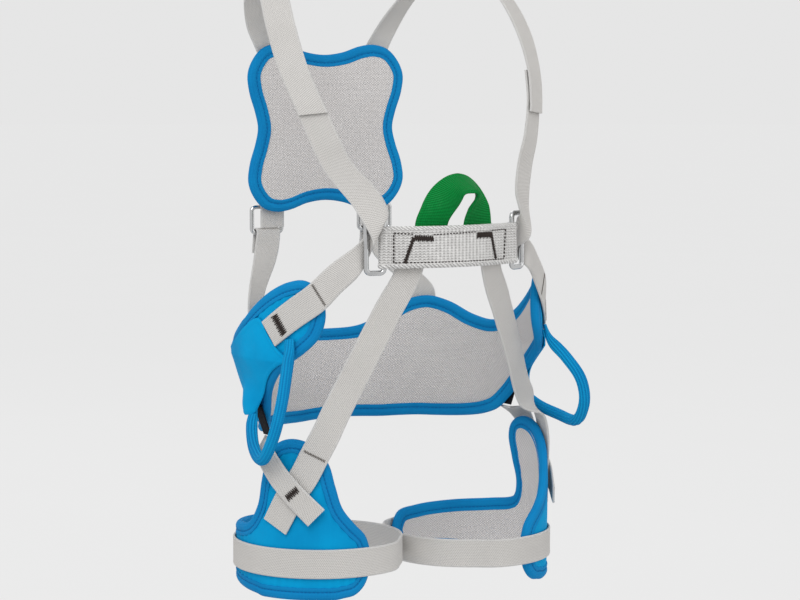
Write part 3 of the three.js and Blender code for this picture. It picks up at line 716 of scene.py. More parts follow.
@dataclass(frozen=True)
class PoreMesh(Finish):
    """Knitted facing over foam, with rows of small pores."""

    roughness: float = 0.96
    smoothing: float = 0.06
    specular: float = 0.1
    depth: float = 0.5
    yarn: Colour = (0.80, 0.775, 0.765, 1)
    pore: Colour = (0.42, 0.40, 0.395, 1)
    pitch: float = 2.3
    row: float = 1.9
    size: float = 0.3
    wall: Span = (0.25, 1.5)
    pore_share: float = 0.6
    patches: Patches = Patches(30, 3, 0.4, 0.3)

    def material(self) -> bpy.types.Material:
        """Makes the material.

        Returns:
            The material, with its nodes.
        """
        sheet = NodeSheet(self.name)
        along, across = sheet.cloth()
        x, y = along / self.pitch, across / self.row

        def away(shift: float) -> Value:
            """Squared distance to the nearest pore of one of the two sets of rows."""
            dx, dy = (x + shift).fract() - 0.5, (y + shift).fract() - 0.5
            return dx * dx + dy * dy

        near = away(0.0).least(away(0.5))
        yarn = near.rise(*(self.size**2 * share for share in self.wall))
        cloth = sheet.mix((1 - yarn) * self.pore_share, self.yarn, self.pore)
        return self.woven(sheet, self.patches.over(sheet, cloth, self.pore), yarn)


@dataclass(frozen=True)
class DyedCloth(Finish):
    """Blue or black cloth: plain weave or fine knit ribs, with soft changes of tone."""

    specular: float = 0.08
    depth: float = 0.14
    deep: Colour = (0.002, 0.12, 0.34, 1)
    bright: Colour = (0.004, 0.24, 0.53, 1)
    along: float = 0.9
    across: float = 0.9
    share: float = 0.5
    tone: float = 0.45
    tone_scale: Span = (22, 3)
    tone_lit: Span = (0.28, 0.72)
    contrast: float = 0.35

    def material(self) -> bpy.types.Material:
        """Makes the material.

        Returns:
            The material, with its nodes.
        """
        sheet = NodeSheet(self.name)
        along, across = sheet.cloth()
        height = (along / self.along).wave() * self.share + (across / self.across).wave() * (1 - self.share)
        soft = sheet.noise(*self.tone_scale).rise(*self.tone_lit)
        tone = height * self.contrast + soft * self.tone + (1 - self.contrast - self.tone)
        return self.woven(sheet, sheet.mix(tone, self.deep, self.bright), height)


@dataclass(frozen=True)
class Thread(Finish):
    """Sewing thread with its twist."""

    roughness: float = 0.62
    smoothing: float = -0.15
    depth: float = 0.08
    deep: Colour = (0.012, 0.009, 0.008, 1)
    bright: Colour = (0.055, 0.042, 0.038, 1)
    twist: float = 0.55

    def material(self) -> bpy.types.Material:
        """Makes the material.

        Returns:
            The material, with its nodes.
        """
        sheet = NodeSheet(self.name)
        along, across = sheet.cloth()
        strand = (along / self.twist + across / self.twist).wave()
        return self.woven(sheet, sheet.mix(strand, self.deep, self.bright), strand)


@dataclass(frozen=True)
class SteelWire(Finish):
    """Bright steel wire with fine drawing marks, and a few rougher patches painted darker as a painted dark
    reflection.
    """

    roughness: float = 0.16
    depth: float = 0.012
    bright: Colour = (0.56, 0.565, 0.57, 1)
    # Colour of the patches: a painted dark reflection
    painted_dark_reflection: Colour = (0.34, 0.345, 0.35, 1)
    mottle_scale: Span = (70, 4)
    mottle_places: Span = (0.5, 0.8)
    dark_reflection_share: float = 0.5
    dull_rough: float = 0.16
    mark: float = 0.7
    mark_scale: Span = (420, 2)
    mark_sway: float = 0.8
    mark_rough: float = 0.06

    def material(self) -> bpy.types.Material:
        """Makes the material.

        Returns:
            The material, with its nodes.
        """
        sheet = NodeSheet(self.name)
        _, across = sheet.cloth()
        marks = sheet.noise(*self.mark_scale)
        # Noise patches, rougher and painted darker: a painted dark reflection
        worn = sheet.noise(*self.mottle_scale).rise(*self.mottle_places)
        drawn = (across / self.mark + marks * self.mark_sway).wave()
        return sheet.dress(
            Base_Color=sheet.mix(worn * self.dark_reflection_share, self.bright, self.painted_dark_reflection),
            Metallic=1.0,
            Roughness=self.roughness + worn * self.dull_rough + marks * self.mark_rough,
            Normal=sheet.bump(drawn, self.depth),
        )


class Stock(Enum):
    """The materials that the harness is sewn from."""

    WEB = Webbing("strap_webbing", "webbing")
    NARROW_WEB = Webbing("narrow_webbing", "webbing", half=SIDE_WIDTH / 2)
    REAR_WEB = Webbing("rear_webbing", "webbing", half=REAR_WIDTH / 2)
    BAND = BandWebbing("band_webbing", "webbing")
    GREEN = RibbedWebbing("green_webbing", "tie_in_webbing")
    MESH = PoreMesh("pore_mesh", "mesh")
    PANEL = DyedCloth(
        "panel_cloth",
        "panel",
        deep=(0.0, 0.18, 0.42, 1),
        bright=(0.0, 0.34, 0.66, 1),
        along=0.8,
        across=0.8,
        depth=0.1,
    )
    EDGE = DyedCloth("edge_binding", "binding", along=1.0, across=2.4, share=0.7, depth=0.16, tone=0.3)
    CORD = DyedCloth(
        "cord_sleeve",
        "gear_cord",
        deep=(0.0, 0.085, 0.29, 1),
        bright=(0.004, 0.31, 0.60, 1),
        along=1.3,
        across=TAU * CORD_RADIUS / CORD_RIBS,
        share=0.25,
        depth=0.3,
        tone=0.2,
        contrast=0.6,
    )
    TAPE = DyedCloth(
        "black_tape",
        "tape",
        deep=(0.004, 0.004, 0.006, 1),
        bright=(0.016, 0.016, 0.02, 1),
        along=1.2,
        depth=0.2,
    )
    BLUE_THREAD = Thread("blue_thread", "binding", deep=(0.0, 0.085, 0.28, 1), bright=(0.0, 0.17, 0.43, 1))
    THREAD = Thread("brown_thread", "thread")
    SOFT_THREAD = Thread("soft_thread", "thread", deep=(0.07, 0.06, 0.053, 1), bright=(0.2, 0.18, 0.165, 1))
    WIRE = SteelWire("steel_wire", "ring_wire")


class Workshop:
    """Turns shapes into dressed pieces that ride on the harness."""

    def __init__(self) -> None:
        """Starts with no material made."""
        self.materials: dict[Stock, bpy.types.Material] = {}

    def dressed(self, stock: Stock) -> bpy.types.Material:
        """The material of a stock, made once.

        Args:
            stock: What a piece is made of.

        Returns:
            Its material.
        """
        if stock not in self.materials:
            self.materials[stock] = stock.value.material()
        return self.materials[stock]

    def piece(self, name: str, shape: Shape, stock: Stock, *nodes: str) -> bpy.types.Object:
        """Makes one piece.

        Args:
            name: The piece's name.
            shape: Its closed surface.
            stock: What it is made of.
            *nodes: The solids that it stands for.

        Returns:
            The piece, riding on the harness.
        """
        mesh = bpy.data.meshes.new(name)
        faces = shape.quads.tolist() + shape.caps
        mesh.from_pydata((shape.points * MM).tolist(), [], faces)
        layer = mesh.uv_layers.new(name=WEAVE_MAP)
        spare = sum(len(cap) for cap in shape.caps)
        places = np.vstack([shape.weave.reshape(-1, 2), np.zeros((spare, 2))])
        layer.data.foreach_set("uv", places.astype(np.float32).ravel())
        mesh.materials.append(self.dressed(stock))
        mesh.shade_smooth()
        mesh.set_sharp_from_angle(angle=math.radians(SHARP_DEG))
        made = bpy.data.objects.new(name, mesh)
        bpy.context.scene.collection.objects.link(made)
        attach(made, "root")
        if nodes:
            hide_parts(*nodes)
        LOG.info("%s: %d faces", name, len(faces))
        return made

    def swell(self, piece: bpy.types.Object, free: Array, pressure: float, most: float) -> None:
        """Blows the free points of a padded piece out a little with a cloth simulation.

        Args:
            piece: The piece, whose other points stay sewn down.
            free: Which points may move.
            pressure: Pressure of the filling.
            most: The furthest that a point may move, in millimetres.
        """
        scene = bpy.context.scene
        group = piece.vertex_groups.new(name="sewn")
        group.add([int(i) for i in np.flatnonzero(~free)], 1.0, "REPLACE")
        cloth = piece.modifiers.new("filling", "CLOTH")
        for key, value in FILLING.items():
            setattr(cloth.settings, key, value)
        cloth.settings.uniform_pressure_force = pressure
        cloth.settings.vertex_group_mass = group.name
        cloth.settings.effector_weights.gravity = 0
        cloth.collision_settings.use_collision = False
        cloth.point_cache.frame_start, cloth.point_cache.frame_end = 1, FILLING_STEPS
        for step in range(1, FILLING_STEPS + 1):
            scene.frame_set(step)
        shaped = piece.evaluated_get(bpy.context.evaluated_depsgraph_get()).to_mesh()
        rest, moved = (np.empty(len(piece.data.vertices) * 3) for _ in range(2))
        piece.data.vertices.foreach_get("co", rest)
        shaped.vertices.foreach_get("co", moved)
        shift = (moved - rest).reshape(-1, 3)
        far = np.linalg.norm(shift, axis=1, keepdims=True)
        cap = most * MM
        shift *= cap * np.tanh(far / cap) / np.maximum(far, 1e-9)
        piece.modifiers.remove(cloth)
        piece.vertex_groups.clear()
        piece.data.vertices.foreach_set("co", rest + shift.ravel())
        piece.data.update()
        scene.frame_set(1)
        LOG.info("%s: swelled by up to %.2f mm", piece.name, float(far.max()) / MM)


@dataclass(frozen=True)
class Torso:
    """Waist that the belt follows, narrower below the middle."""

    half_width: float = 114.5
    half_depth: float = 88
    centre_y: float = 15
    taper_width: float = 0.36
    taper_depth: float = 0.1
    flat: float = 105

    def at(self, turn: Any, z: Any, offset: Any) -> Array:
        """A point by angle from the middle of the back, height and offset.

        Args:
            turn: Angle in degrees toward +X.
            z: Height.
            offset: Distance outward from the body.

        Returns:
            The points.
        """
        turn, z, offset = np.broadcast_arrays(*(np.asarray(v, float) for v in (turn, z, offset)))
        angle, below = np.radians(turn), np.minimum(z, 0)
        wide = self.half_width + self.taper_width * below
        deep = self.half_depth + self.taper_depth * below
        normal = unit(np.stack([np.sin(angle) / wide, np.cos(angle) / deep, np.zeros_like(z)], axis=-1))
        skin = np.stack([wide * np.sin(angle), self.centre_y + deep * np.cos(angle), z], axis=-1)
        return skin + normal * offset[..., None]

    def beside(self, side: Side, turn: Any, z: Any, offset: Any) -> Array:
        """The same point by its angle toward one side."""
        return self.at(side.value * np.asarray(turn), z, offset)

    def along(self, distance: Any, z: Any, offset: Any) -> Array:
        """The same point by its distance round the waist."""
        return self.at(np.degrees(np.asarray(distance) / self.flat), z, offset)

    def distance(self, turn: Any) -> Array:
        """Distance round the waist for an angle."""
        return np.radians(turn) * self.flat


@dataclass(frozen=True)
class Thigh:
    """One upright thigh with its leg pad turned to its own angle."""

    side: Side
    x: float
    turn: float
    drop: float
    lean: float
    lean_from: float = -121
    radius: float = 56
    y: float = 5

    def round(self, turn: Any, z: Any, offset: Any) -> Array:
        """A point by angle from the front toward the outside, height and offset.

        Args:
            turn: Angle in degrees.
            z: Height.
            offset: Distance outward from the body.

        Returns:
            The points.
        """
        turn, z, offset = np.broadcast_arrays(*(np.asarray(v, float) for v in (turn, z, offset)))
        angle, reach = np.radians(turn), self.radius + offset
        x = self.side.value * (self.x + reach * np.sin(angle))
        return np.stack([x, self.y - reach * np.cos(angle), z], axis=-1)

    def at(self, turn: Any, z: Any, offset: Any) -> Array:
        """A point by the angle from the middle of the leg pad and its own height.

        Args:
            turn: Angle in degrees.
            z: Height.
            offset: Distance outward from the body.

        Returns:
            The points.
        """
        turn, z = np.asarray(turn, float), np.asarray(z, float)
        swing = self.lean * np.maximum(z - self.lean_from, 0)
        return self.round(self.turn + turn + swing, z - self.drop, offset)

    def along(self, distance: Any, z: Any, offset: Any) -> Array:
        """The same point by its distance round the thigh."""
        return self.at(np.degrees(np.asarray(distance) / self.radius), z, offset)

    def outward(self, point: Array) -> Array:
        """Direction from the middle of the thigh to a point at the same height."""
        return point - np.array([self.side.value * self.x, self.y, point[2]])


TORSO = Torso()
THIGHS = {
    Side.LEFT: Thigh(Side.LEFT, x=60, turn=69, drop=5, lean=0.47),
    Side.RIGHT: Thigh(Side.RIGHT, x=64, turn=48, drop=0, lean=0),
}


def outline_points(corners: Any, spacing: float) -> Array:
    """Evenly spaced points on a closed smooth outline in its unrolled plane."""
    return spaced(catmull_rom(corners, CORNER_SAMPLES * len(corners), closed=True), spacing, closed=True)


def inset(points: Array, distance: float) -> Array:
    """An outline moved inward.

    Args:
        points: The outline.
        distance: How far it moves.

    Returns:
        The moved outline.
    """
    after, before = np.roll(points, -1, axis=0), np.roll(points, 1, axis=0)
    area = np.sum(points[:, 0] * after[:, 1] - after[:, 0] * points[:, 1])
    along = unit(after - before)
    return points + np.sign(area) * distance * np.stack([-along[:, 1], along[:, 0]], axis=1)


def column_grid(points: Array, step: float, rows: int) -> Array:
    """Covers an outline with upright columns, closer together at its two ends.

    Args:
        points: The outline.
        step: Distance between columns.
        rows: Points in a column.

    Returns:
        Places in the unrolled plane, as columns by rows by 2.
    """
    low, high = points[:, 0].min() + COLUMN_MARGIN, points[:, 0].max() - COLUMN_MARGIN
    count = round((high - low) / step)
    share = np.linspace(0, 1, count + 1)
    lead = np.array(COLUMN_LEAD) / count
    share = np.concatenate([lead, share[1:-1], 1 - lead[::-1]])
    after = np.roll(points, -1, axis=0)
    columns = []
    for x in low + (high - low) * share:
        hit = (points[:, 0] - x) * (after[:, 0] - x) < 0
        p, q = points[hit], after[hit]
        z = p[:, 1] + (q[:, 1] - p[:, 1]) * (x - p[:, 0]) / (q[:, 0] - p[:, 0])
        columns.append(np.stack([np.full(rows, x), np.linspace(z.min(), z.max(), rows)], axis=1))
    return np.array(columns)


def patch_grid(points: Array, corners: Sequence[Sequence[float]], columns: int, rows: int) -> Array:
    """Covers a four-lobed outline with a grid blended between its four sides.

    Args:
        points: The outline.
        corners: The outline's four lobes, in the order that the points run.
        columns: Points along the first side.
        rows: Points along the second side.

    Returns:
        Places in the unrolled plane, as columns by rows by 2.
    """
    ends = [int(np.argmin(np.linalg.norm(points - np.asarray(c), axis=1))) for c in corners]

    def side(start: int, end: int, count: int) -> Array:
        """Even points along one side."""
        run = points[np.arange(start, end + 1 if end > start else end + len(points) + 1) % len(points)]
        return spaced(run, lengths(run)[-1] / (count - 1))

    low, right = side(ends[0], ends[1], columns), side(ends[1], ends[2], rows)
    top, left = side(ends[2], ends[3], columns)[::-1], side(ends[3], ends[0], rows)[::-1]
    u, v = np.linspace(0, 1, columns)[:, None, None], np.linspace(0, 1, rows)[None, :, None]
    blend = (1 - v) * low[:, None] + v * top[:, None] + (1 - u) * left[None] + u * right[None]
    twist = (1 - u) * (1 - v) * low[0] + u * (1 - v) * low[-1] + (1 - u) * v * top[0] + u * v * top[-1]
    return blend - twist


@dataclass
class PaddedPanel:
    """Foam with a mesh facing, an outer cloth and a rolled binding round its edge."""

    shop: Workshop
    label: str
    ending: str
    corners: Array
    place: Place
    across: float = 4.0
    normal: float = 3.4
    offset: float = 3.2
    field_inset: float = 7.7
    spacing: float = 2.6
    step: float = 3.4
    rows: int = 24
    fill: float = 0.7
    pressure: float = 4.0
    cap: float = 1.7
    crown: float = 0.5
    crown_from: float = COVER_OUTER - 0.35
    pucker: float = 0.5
    pucker_pitch: float = 6.0
    pucker_columns: int = 4
    pucker_start: float = 0.12
    pucker_fade: Span = (0.1, 0.6)
    lobes: Sequence[Sequence[float]] = ()
    lobe_columns: int = 46
    lobe_rows: int = 44
    field_spacing: float = 1.5
    sewn_columns: int = 3
    sewn_rows: int = 2
    rim_steps: int = 13
    hem: Sequence[Span] = (
        (-1.0, 3.3), (-1.8, 3.0), (-2.3, 2.72), (-2.8, 2.95), (-3.4, 3.4), (-4.6, 3.5), (-5.3, 3.3),
    )
    hem_end: Span = (-5.6, 2.4)
    stitch_inset: float = 2.3
    stitch_height: float = 2.86
    stitch_pitch: float = 3.0
    stitch_share: float = 0.74
    stitch_radius: float = 0.34

    def grid(self) -> Array:
        """Places of the padded field in the unrolled plane.

        Returns:
            The places, as columns by rows by 2.
        """
        field_line = inset(outline_points(self.corners, self.field_spacing), self.field_inset)
        if len(self.lobes):
            return patch_grid(field_line, self.lobes, self.lobe_columns, self.lobe_rows)
        return column_grid(field_line, self.step, self.rows)

    def build(self) -> None:
        """Makes and dresses the padding, the outer cloth, the binding and its stitches."""
        cells = self.grid()
        self.padding(cells)
        self.outer_cloth(cells)
        self.binding()

    def padding(self, cells: Array) -> None:
        """The foam with its mesh facing, swelled toward the wearer.

        Args:
            cells: Places of the padded field.
        """
        x, z = cells[..., 0], cells[..., 1]
        shape = slab(self.place(x, z, 0.0), self.place(x, z, PAD_OUTER), cells * MM)
        name = f"{self.label}_padding{self.ending}"
        piece = self.shop.piece(name, shape, Stock.MESH, f"{self.label}_pad{self.ending}")
        free = np.zeros(cells.shape[:2], bool)
        free[self.sewn_columns : -self.sewn_columns, self.sewn_rows : -self.sewn_rows] = True
        free = np.concatenate([free.ravel(), np.zeros(free.size, bool)])
        self.shop.swell(piece, free, self.pressure, self.cap)

    def outer_cloth(self, cells: Array) -> None:
        """The outer cloth, a little puckered along the seam of the binding.

        Args:
            cells: Places of the padded field.
        """
        x, z = cells[..., 0], cells[..., 1]
        columns, rows = x.shape
        row, column = np.arange(rows)[None], np.arange(columns)[:, None]
        edge = np.minimum(row, rows - 1 - row) / (rows / 2)
        side = np.minimum(column, columns - 1 - column) / self.pucker_columns
        near = np.clip(np.minimum(edge, side), 0, 1)
        waves = np.cos(TAU * x / self.pucker_pitch) * (1 - smoothstep(near, *self.pucker_fade))
        puckers = self.pucker * waves * smoothstep(near, 0.0, self.pucker_start)
        outer = self.place(x, z, self.crown_from + self.crown * smoothstep(near, 0.0, 1.0) + puckers)
        shape = slab(self.place(x, z, COVER_INNER), outer, cells * MM)
        name = f"{self.label}_outer_cloth{self.ending}"
        piece = self.shop.piece(name, shape, Stock.PANEL, f"{self.label}_cover{self.ending}")

    def edge_frame(self) -> tuple[Array, Array, Array]:
        """Middle line of the rolled edge, with its outward side and its normal.

        Returns:
            The points and both directions, one row each.
        """
        line = inset(outline_points(self.corners, self.spacing), self.across)
        centre = self.place(line[:, 0], line[:, 1], self.offset)
        normal = unit(self.place(line[:, 0], line[:, 1], self.offset + 1) - centre)
        along = np.roll(centre, -1, axis=0) - np.roll(centre, 1, axis=0)
        side = unit(np.cross(along, normal))
        nudge = inset(line, 1.0)
        inward = self.place(nudge[:, 0], nudge[:, 1], self.offset) - centre
        return centre, -side * np.sign(np.sum(inward * side)), normal

    def binding(self) -> None:
        """The tape rolled over the edge: a round rim, a sewn groove and a flat hem on both faces."""
        centre, side, normal = self.edge_frame()
        angle = np.radians(np.linspace(-90, 90, self.rim_steps))
        rim = np.stack([self.across * np.cos(angle), self.normal * np.sin(angle)], axis=1)
        face = np.array([*self.hem, self.hem_end])
        section = np.vstack([rim, face, face[::-1] * (1, -1)])
        rings = centre[:, None] + section[:, :1] * side[:, None] + section[:, 1:] * normal[:, None]
        run = lengths(np.vstack([centre, centre[:1]]))
        girth = lengths(np.pad(np.vstack([section, section[:1]]), ((0, 0), (0, 1))))
        shape = loft(rings, weave_grid(run, girth), True)
        node = f"{self.label}_binding{self.ending}"
        self.shop.piece(f"{self.label}_rolled_binding{self.ending}", shape, Stock.EDGE, node)
        threads = []
        for face_sign in (1, -1):
            row = centre - self.stitch_inset * side + face_sign * self.stitch_height * normal
            line = spaced(np.hstack([row, normal * face_sign]), self.stitch_pitch, closed=True)
            starts, away = line[:, :3], unit(line[:, 3:])
            ends = starts + (np.roll(starts, -1, axis=0) - starts) * self.stitch_share
            threads.append(stitches(starts, ends, away, self.stitch_radius))
        self.shop.piece(f"{self.label}_binding_stitches{self.ending}", Shape.joined(threads), Stock.BLUE_THREAD)


@dataclass
class Rows:
    """Places along a strap: its middle, the direction across it and its width."""

    centre: Array
    across: Array
    width: Array

    @staticmethod
    def fixed(path: Any, sign: int, width: float) -> "Rows":
        """Rows from a table of middle and across vectors, mirrored to one side.

        Args:
            path: Middle and across vector of each row.
            sign: 1 or -1 for the side.
            width: The strap's width.

        Returns:
            The rows.
        """
        table = np.asarray(path, float)
        mirror = np.array([sign, 1, 1])
        return Rows(table[:, :3] * mirror, unit(table[:, 3:] * mirror), np.full(len(table), width))

    @staticmethod
    def on_surface(place: Place, run: Any, width: float, toward: Any) -> "Rows":
        """Rows that lie on a surface, square to their path.

        Args:
            place: The surface, by angle, height and offset.
            run: Angle, height and offset of each row.
            width: The strap's width.
            toward: A direction that the across vectors point to.

        Returns:
            The rows.
        """
        turn, z, offset = np.asarray(run, float).T
        centre = place(turn, z, offset)
        normal = place(turn, z, offset + 1) - centre
        index = np.arange(len(centre))
        ahead = centre[np.minimum(index + 1, len(centre) - 1)]
        across = unit(np.cross(ahead - centre[np.maximum(index - 1, 0)], normal))
        across = np.where(np.sum(across * np.asarray(toward), axis=1, keepdims=True) < 0, -across, across)
        return Rows(centre, across, np.full(len(centre), width))

    @staticmethod
    def joined(*rows: "Rows") -> "Rows":
        """Rows one after another."""
        return Rows(*(np.concatenate([getattr(r, key) for r in rows]) for key in ("centre", "across", "width")))

    def strand(self, thick: float = WEB_THICK, spacing: float = ROW_SPACING) -> "Strand":
        """The smooth strap through these rows.

        Args:
            thick: The strap's thickness.
            spacing: Distance from section to section.

        Returns:
            The strap.
        """
        count = ROW_SAMPLES * (len(self.centre) - 1)
        steps = np.stack([np.arange(len(self.width)), self.width, 0 * self.width], axis=1)
        parts = [catmull_rom(part, count) for part in (self.centre, self.across, steps)]
        even = spaced(np.hstack([parts[0], parts[1], parts[2][:, 1:2]]), spacing)
        return Strand(even[:, :3], unit(even[:, 3:6]), even[:, 6], np.full(len(even), thick))


@dataclass
class Strand:
    """A flat strap that can be made into a shape or sewn on."""

    centre: Array
    across: Array
    width: Array
    thick: Array
    closed: bool = False

    def __post_init__(self) -> None:
        """Works out the direction away from the strap and the distance along it."""
        if self.closed:
            along = np.roll(self.centre, -1, axis=0) - np.roll(self.centre, 1, axis=0)
        else:
            along = np.gradient(self.centre, axis=0)
        self.lift = unit(np.cross(along, self.across))
        self.run = lengths(np.vstack([self.centre, self.centre[:1]]) if self.closed else self.centre)

    def shape(self, lip: float = 0.14, edge: float = 1.5, relief: Array | None = None) -> Shape:
        """The strap with rounded edges and raised selvedges.

        Args:
            lip: How far the selvedges stand up.
            edge: Width of a selvedge.
            relief: More height of the upper face, by row and by place across.

        Returns:
            The closed surface.
        """
        half = self.width[:, None] / 2
        radius = self.thick[:, None] / 2
        rim = edge / float(np.mean(half))
        edges = -1 + rim * np.array(LIP_PLACES)
        share = np.concatenate([edges, np.linspace(-FLAT_SHARE, FLAT_SHARE, FLAT_POINTS), -edges[::-1]])
        proud = np.zeros(len(share))
        proud[:3] = proud[:-4:-1] = np.array(LIP_HEIGHTS) * lip
        upper = share * (half - radius), radius + proud + (0 if relief is None else relief)
        lower = upper[0][:, ::-1], -(radius + proud)[:, ::-1]
        angle = np.radians(EDGE_DEG)
        bend = half - radius + radius * np.cos(angle), radius * np.sin(angle) * np.ones_like(half)
        left = -bend[0][:, ::-1], bend[1][:, ::-1]
        u = np.hstack([upper[0], bend[0], lower[0], left[0]])
        v = np.hstack([upper[1], bend[1], lower[1], left[1]])
        rings = self.centre[:, None] + u[..., None] * self.across[:, None] + v[..., None] * self.lift[:, None]
        place = np.hstack([u, u[:, :1]])
        if self.closed:
            place = np.vstack([place, place[:1]])
        run = np.broadcast_to(self.run[:, None], place.shape)
        return loft(rings, np.stack([run, place], axis=-1) * MM, self.closed)

    def on_face(self, places: Array, height: float) -> tuple[Array, Array]:
        """Points on the strap, and the direction away from it.

        Args:
            places: Distance along and across, one row each.
            height: Height over the strap's middle, below zero for its other face.

        Returns:
            The points and the directions.
        """
        def at(values: Array) -> Array:
            """Values carried by the strap at those distances."""
            return np.stack([np.interp(places[:, 0], self.run[: len(values)], c) for c in values.T], axis=1)

        lift = unit(at(self.lift))
        return at(self.centre) + places[:, 1:2] * unit(at(self.across)) + height * lift, lift * np.sign(height)

    def face_toward(self, row: int, out: Any) -> int:
        """Which face of a row looks in a direction, 1 or -1."""
        return 1 if self.lift[row] @ np.asarray(out) > 0 else -1


@dataclass(frozen=True)
class BarTack:
    """Zigzag of thread across a strap, from one place across it to another."""

    low: float
    high: float
    width: float
    pitch: float
    radius: float = 0.42

    def on(self, strand: Strand, place: float, face: int) -> Shape:
        """The threads on a strap.

        Args:
            strand: The strap.
            place: Distance along it.
            face: 1 or -1 for the face.

        Returns:
            The threads as one surface.
        """
        turns = zigzag((place, self.low), (place, self.high), self.width, self.pitch)
        points, away = strand.on_face(turns, face * (float(np.mean(strand.thick)) / 2 + TACK_LIFT))
        return stitches(points[:-1], points[1:], away[:-1], self.radius)


@dataclass
class FrontBand:
    """Band with a tunnel at each end for a ring, and its sewing."""

    shop: Workshop
    radius: float = 125
    thick: float = 5
    centre_y: float = 41
    low_z: float = 67
    height: float = 29.5
    bar_x: float = 53
    bulb: float = 4.4
    hole: float = 2.5
    layer: float = 2.4
    row_step: float = 1.3
    sweep_steps: int = 90
    neck: float = 1.15
    fold_deg: float = 75
    fold_steps: int = 11
    path_passes: int = 3
    thick_passes: int = 4
    lip: float = 0.55
    selvedge: float = 2.4
    rib_pitch: float = 3.0
    rib_height: float = 0.3
    rib_loss: float = 0.17
    rib_middle: Span = (14, 34)
    rib_across: Sequence[float] = (0, 0, 0, 0, 0.5, 1, 1, 1, 1, 1, 1, 0.5, 0, 0, 0, 0)
    stitch_pitch: float = 2.6
    stitch_share: float = 0.64
    upright_radius: float = 0.56
    level_radius: float = 0.42
    upright_slope: float = 3
    block_layers: Span = (0.0, 0.28)
    block_pitch: float = 0.8
    block_lift: float = 0.3
    block_radius: float = 0.4
    rows: Sequence[tuple[Span, Span]] = (
        ((-49.3, 71.2), (-49.3, 91.8)), ((-49.3, 91.8), (-34.5, 91.2)), ((-20.5, 90.6), (15.0, 91.6)),
        ((29.5, 92.0), (44.0, 92.4)), ((44.0, 92.4), (42.4, 71.0)), ((42.4, 71.0), (-49.3, 71.2)),
    )
    blocks: Sequence[tuple[Span, Span, float]] = (
        ((-34.8, 88.0), (-20.8, 87.8), 4.8), ((-35.4, 88.6), (-41.4, 70.8), 3.0),
        ((15.0, 88.8), (29.4, 89.2), 5.0), ((28.6, 88.4), (33.4, 71.4), 2.4),
    )

    @property
    def middle(self) -> float:
        """Radius of the middle of the band."""
        return self.radius - self.thick / 2

    @property
    def bar_angle(self) -> float:
        """Angle of the ring's inner bar."""
        return math.asin(self.bar_x / self.middle)

    def on_arc(self, radius: float, angle: Any) -> Array:
        """A point of the band in plan.

        Args:
            radius: Distance from the band's axis.
            angle: Angle in radians toward +X.

        Returns:
            The points, halfway up the band.
        """
        angle = np.asarray(angle, float)
        x, y = radius * np.sin(angle), self.centre_y - radius * np.cos(angle)
        return np.stack([x, y, np.full_like(angle, self.low_z + self.height / 2)], axis=-1)

    @staticmethod
    def eased(values: Array, passes: int) -> Array:
        """Values round a closed path, each drawn toward its neighbours so many times.

        Args:
            values: The values, one row each.
            passes: How many times.

        Returns:
            The eased values.
        """
        for _ in range(passes):
            values = (np.roll(values, 1, axis=0) + 2 * values + np.roll(values, -1, axis=0)) / 4
        return values

    def build(self) -> None:
        """Makes and dresses the band and its sewing."""
        neck = self.bar_angle - self.neck * self.bulb / self.middle
        sweep = np.linspace(-neck, neck, self.sweep_steps)
        reach = (self.bulb + self.hole) / 2
        turn = self.bar_angle + np.radians(np.linspace(-self.fold_deg, self.fold_deg, self.fold_steps))
        bar = self.on_arc(self.middle, self.bar_angle)
        end = bar + reach * np.stack([np.cos(turn), np.sin(turn), 0 * turn], axis=1)
        far = (end * (-1, 1, 1))[::-1]
        front, back = self.radius - self.layer / 2, self.radius - self.thick + self.layer / 2
        path = np.vstack([self.on_arc(front, sweep), end, self.on_arc(back, sweep[::-1]), far])
        line = self.eased(spaced(path, self.row_step, closed=True), self.path_passes)
        near = np.abs(line[:, 0]) > self.bar_x - 2 * self.bulb
        thick = self.eased(np.where(near, self.bulb - self.hole, self.layer), self.thick_passes)
        count = len(line)
        across, width = np.tile((0.0, 0.0, 1.0), (count, 1)), np.full(count, self.height)
        strand = Strand(line, across, width, thick, closed=True)
        arc = self.radius * np.arctan2(line[:, 0], self.centre_y - line[:, 1])
        height = self.rib_height - self.rib_loss * smoothstep(np.abs(arc), *self.rib_middle)
        ribs = np.sin(TAU * strand.run[:-1] / self.rib_pitch) * height
        relief = ribs[:, None] * np.array(self.rib_across)
        shape = strand.shape(lip=self.lip, edge=self.selvedge, relief=relief)
        self.shop.piece("front_band_web", shape, Stock.BAND, "front_band")
        self.shop.piece("front_band_stitching", self.sewing(), Stock.THREAD)

    def on_face(self, places: Array, height: float) -> tuple[Array, Array]:
        """Points on the front of the band by distance from the middle and height, and their normals.

        Args:
            places: Distance and height, one row each.
            height: Height over the face.

        Returns:
            The points and the normals.
        """
        angle = places[:, 0] / self.radius
        points = self.on_arc(self.radius + height, angle)
        points[:, 2] = places[:, 1]
        return points, np.stack([np.sin(angle), -np.cos(angle), 0 * angle], axis=1)

    def sewing(self) -> Shape:
        """Rows of stitches round the band's ends and the bar tacks that hold the loop's legs.

        Returns:
            The threads as one surface.
        """
        threads = []
        for start, end in self.rows:
            upright = abs(start[0] - end[0]) < self.upright_slope
            radius = self.upright_radius if upright else self.level_radius
            row = dashes(start, end, self.stitch_pitch, self.stitch_share)
            (first, away), (last, _) = (self.on_face(places, radius / 2) for places in row)
            threads.append(stitches(first, last, away, radius))
        for start, end, width in self.blocks:
            for shift in self.block_layers:
                turns = zigzag(np.add(start, shift), np.add(end, shift), width, self.block_pitch)
                points, away = self.on_face(turns, self.block_lift + shift / 2)
                threads.append(stitches(points[:-1], points[1:], away[:-1], self.block_radius))
        return Shape.joined(threads)

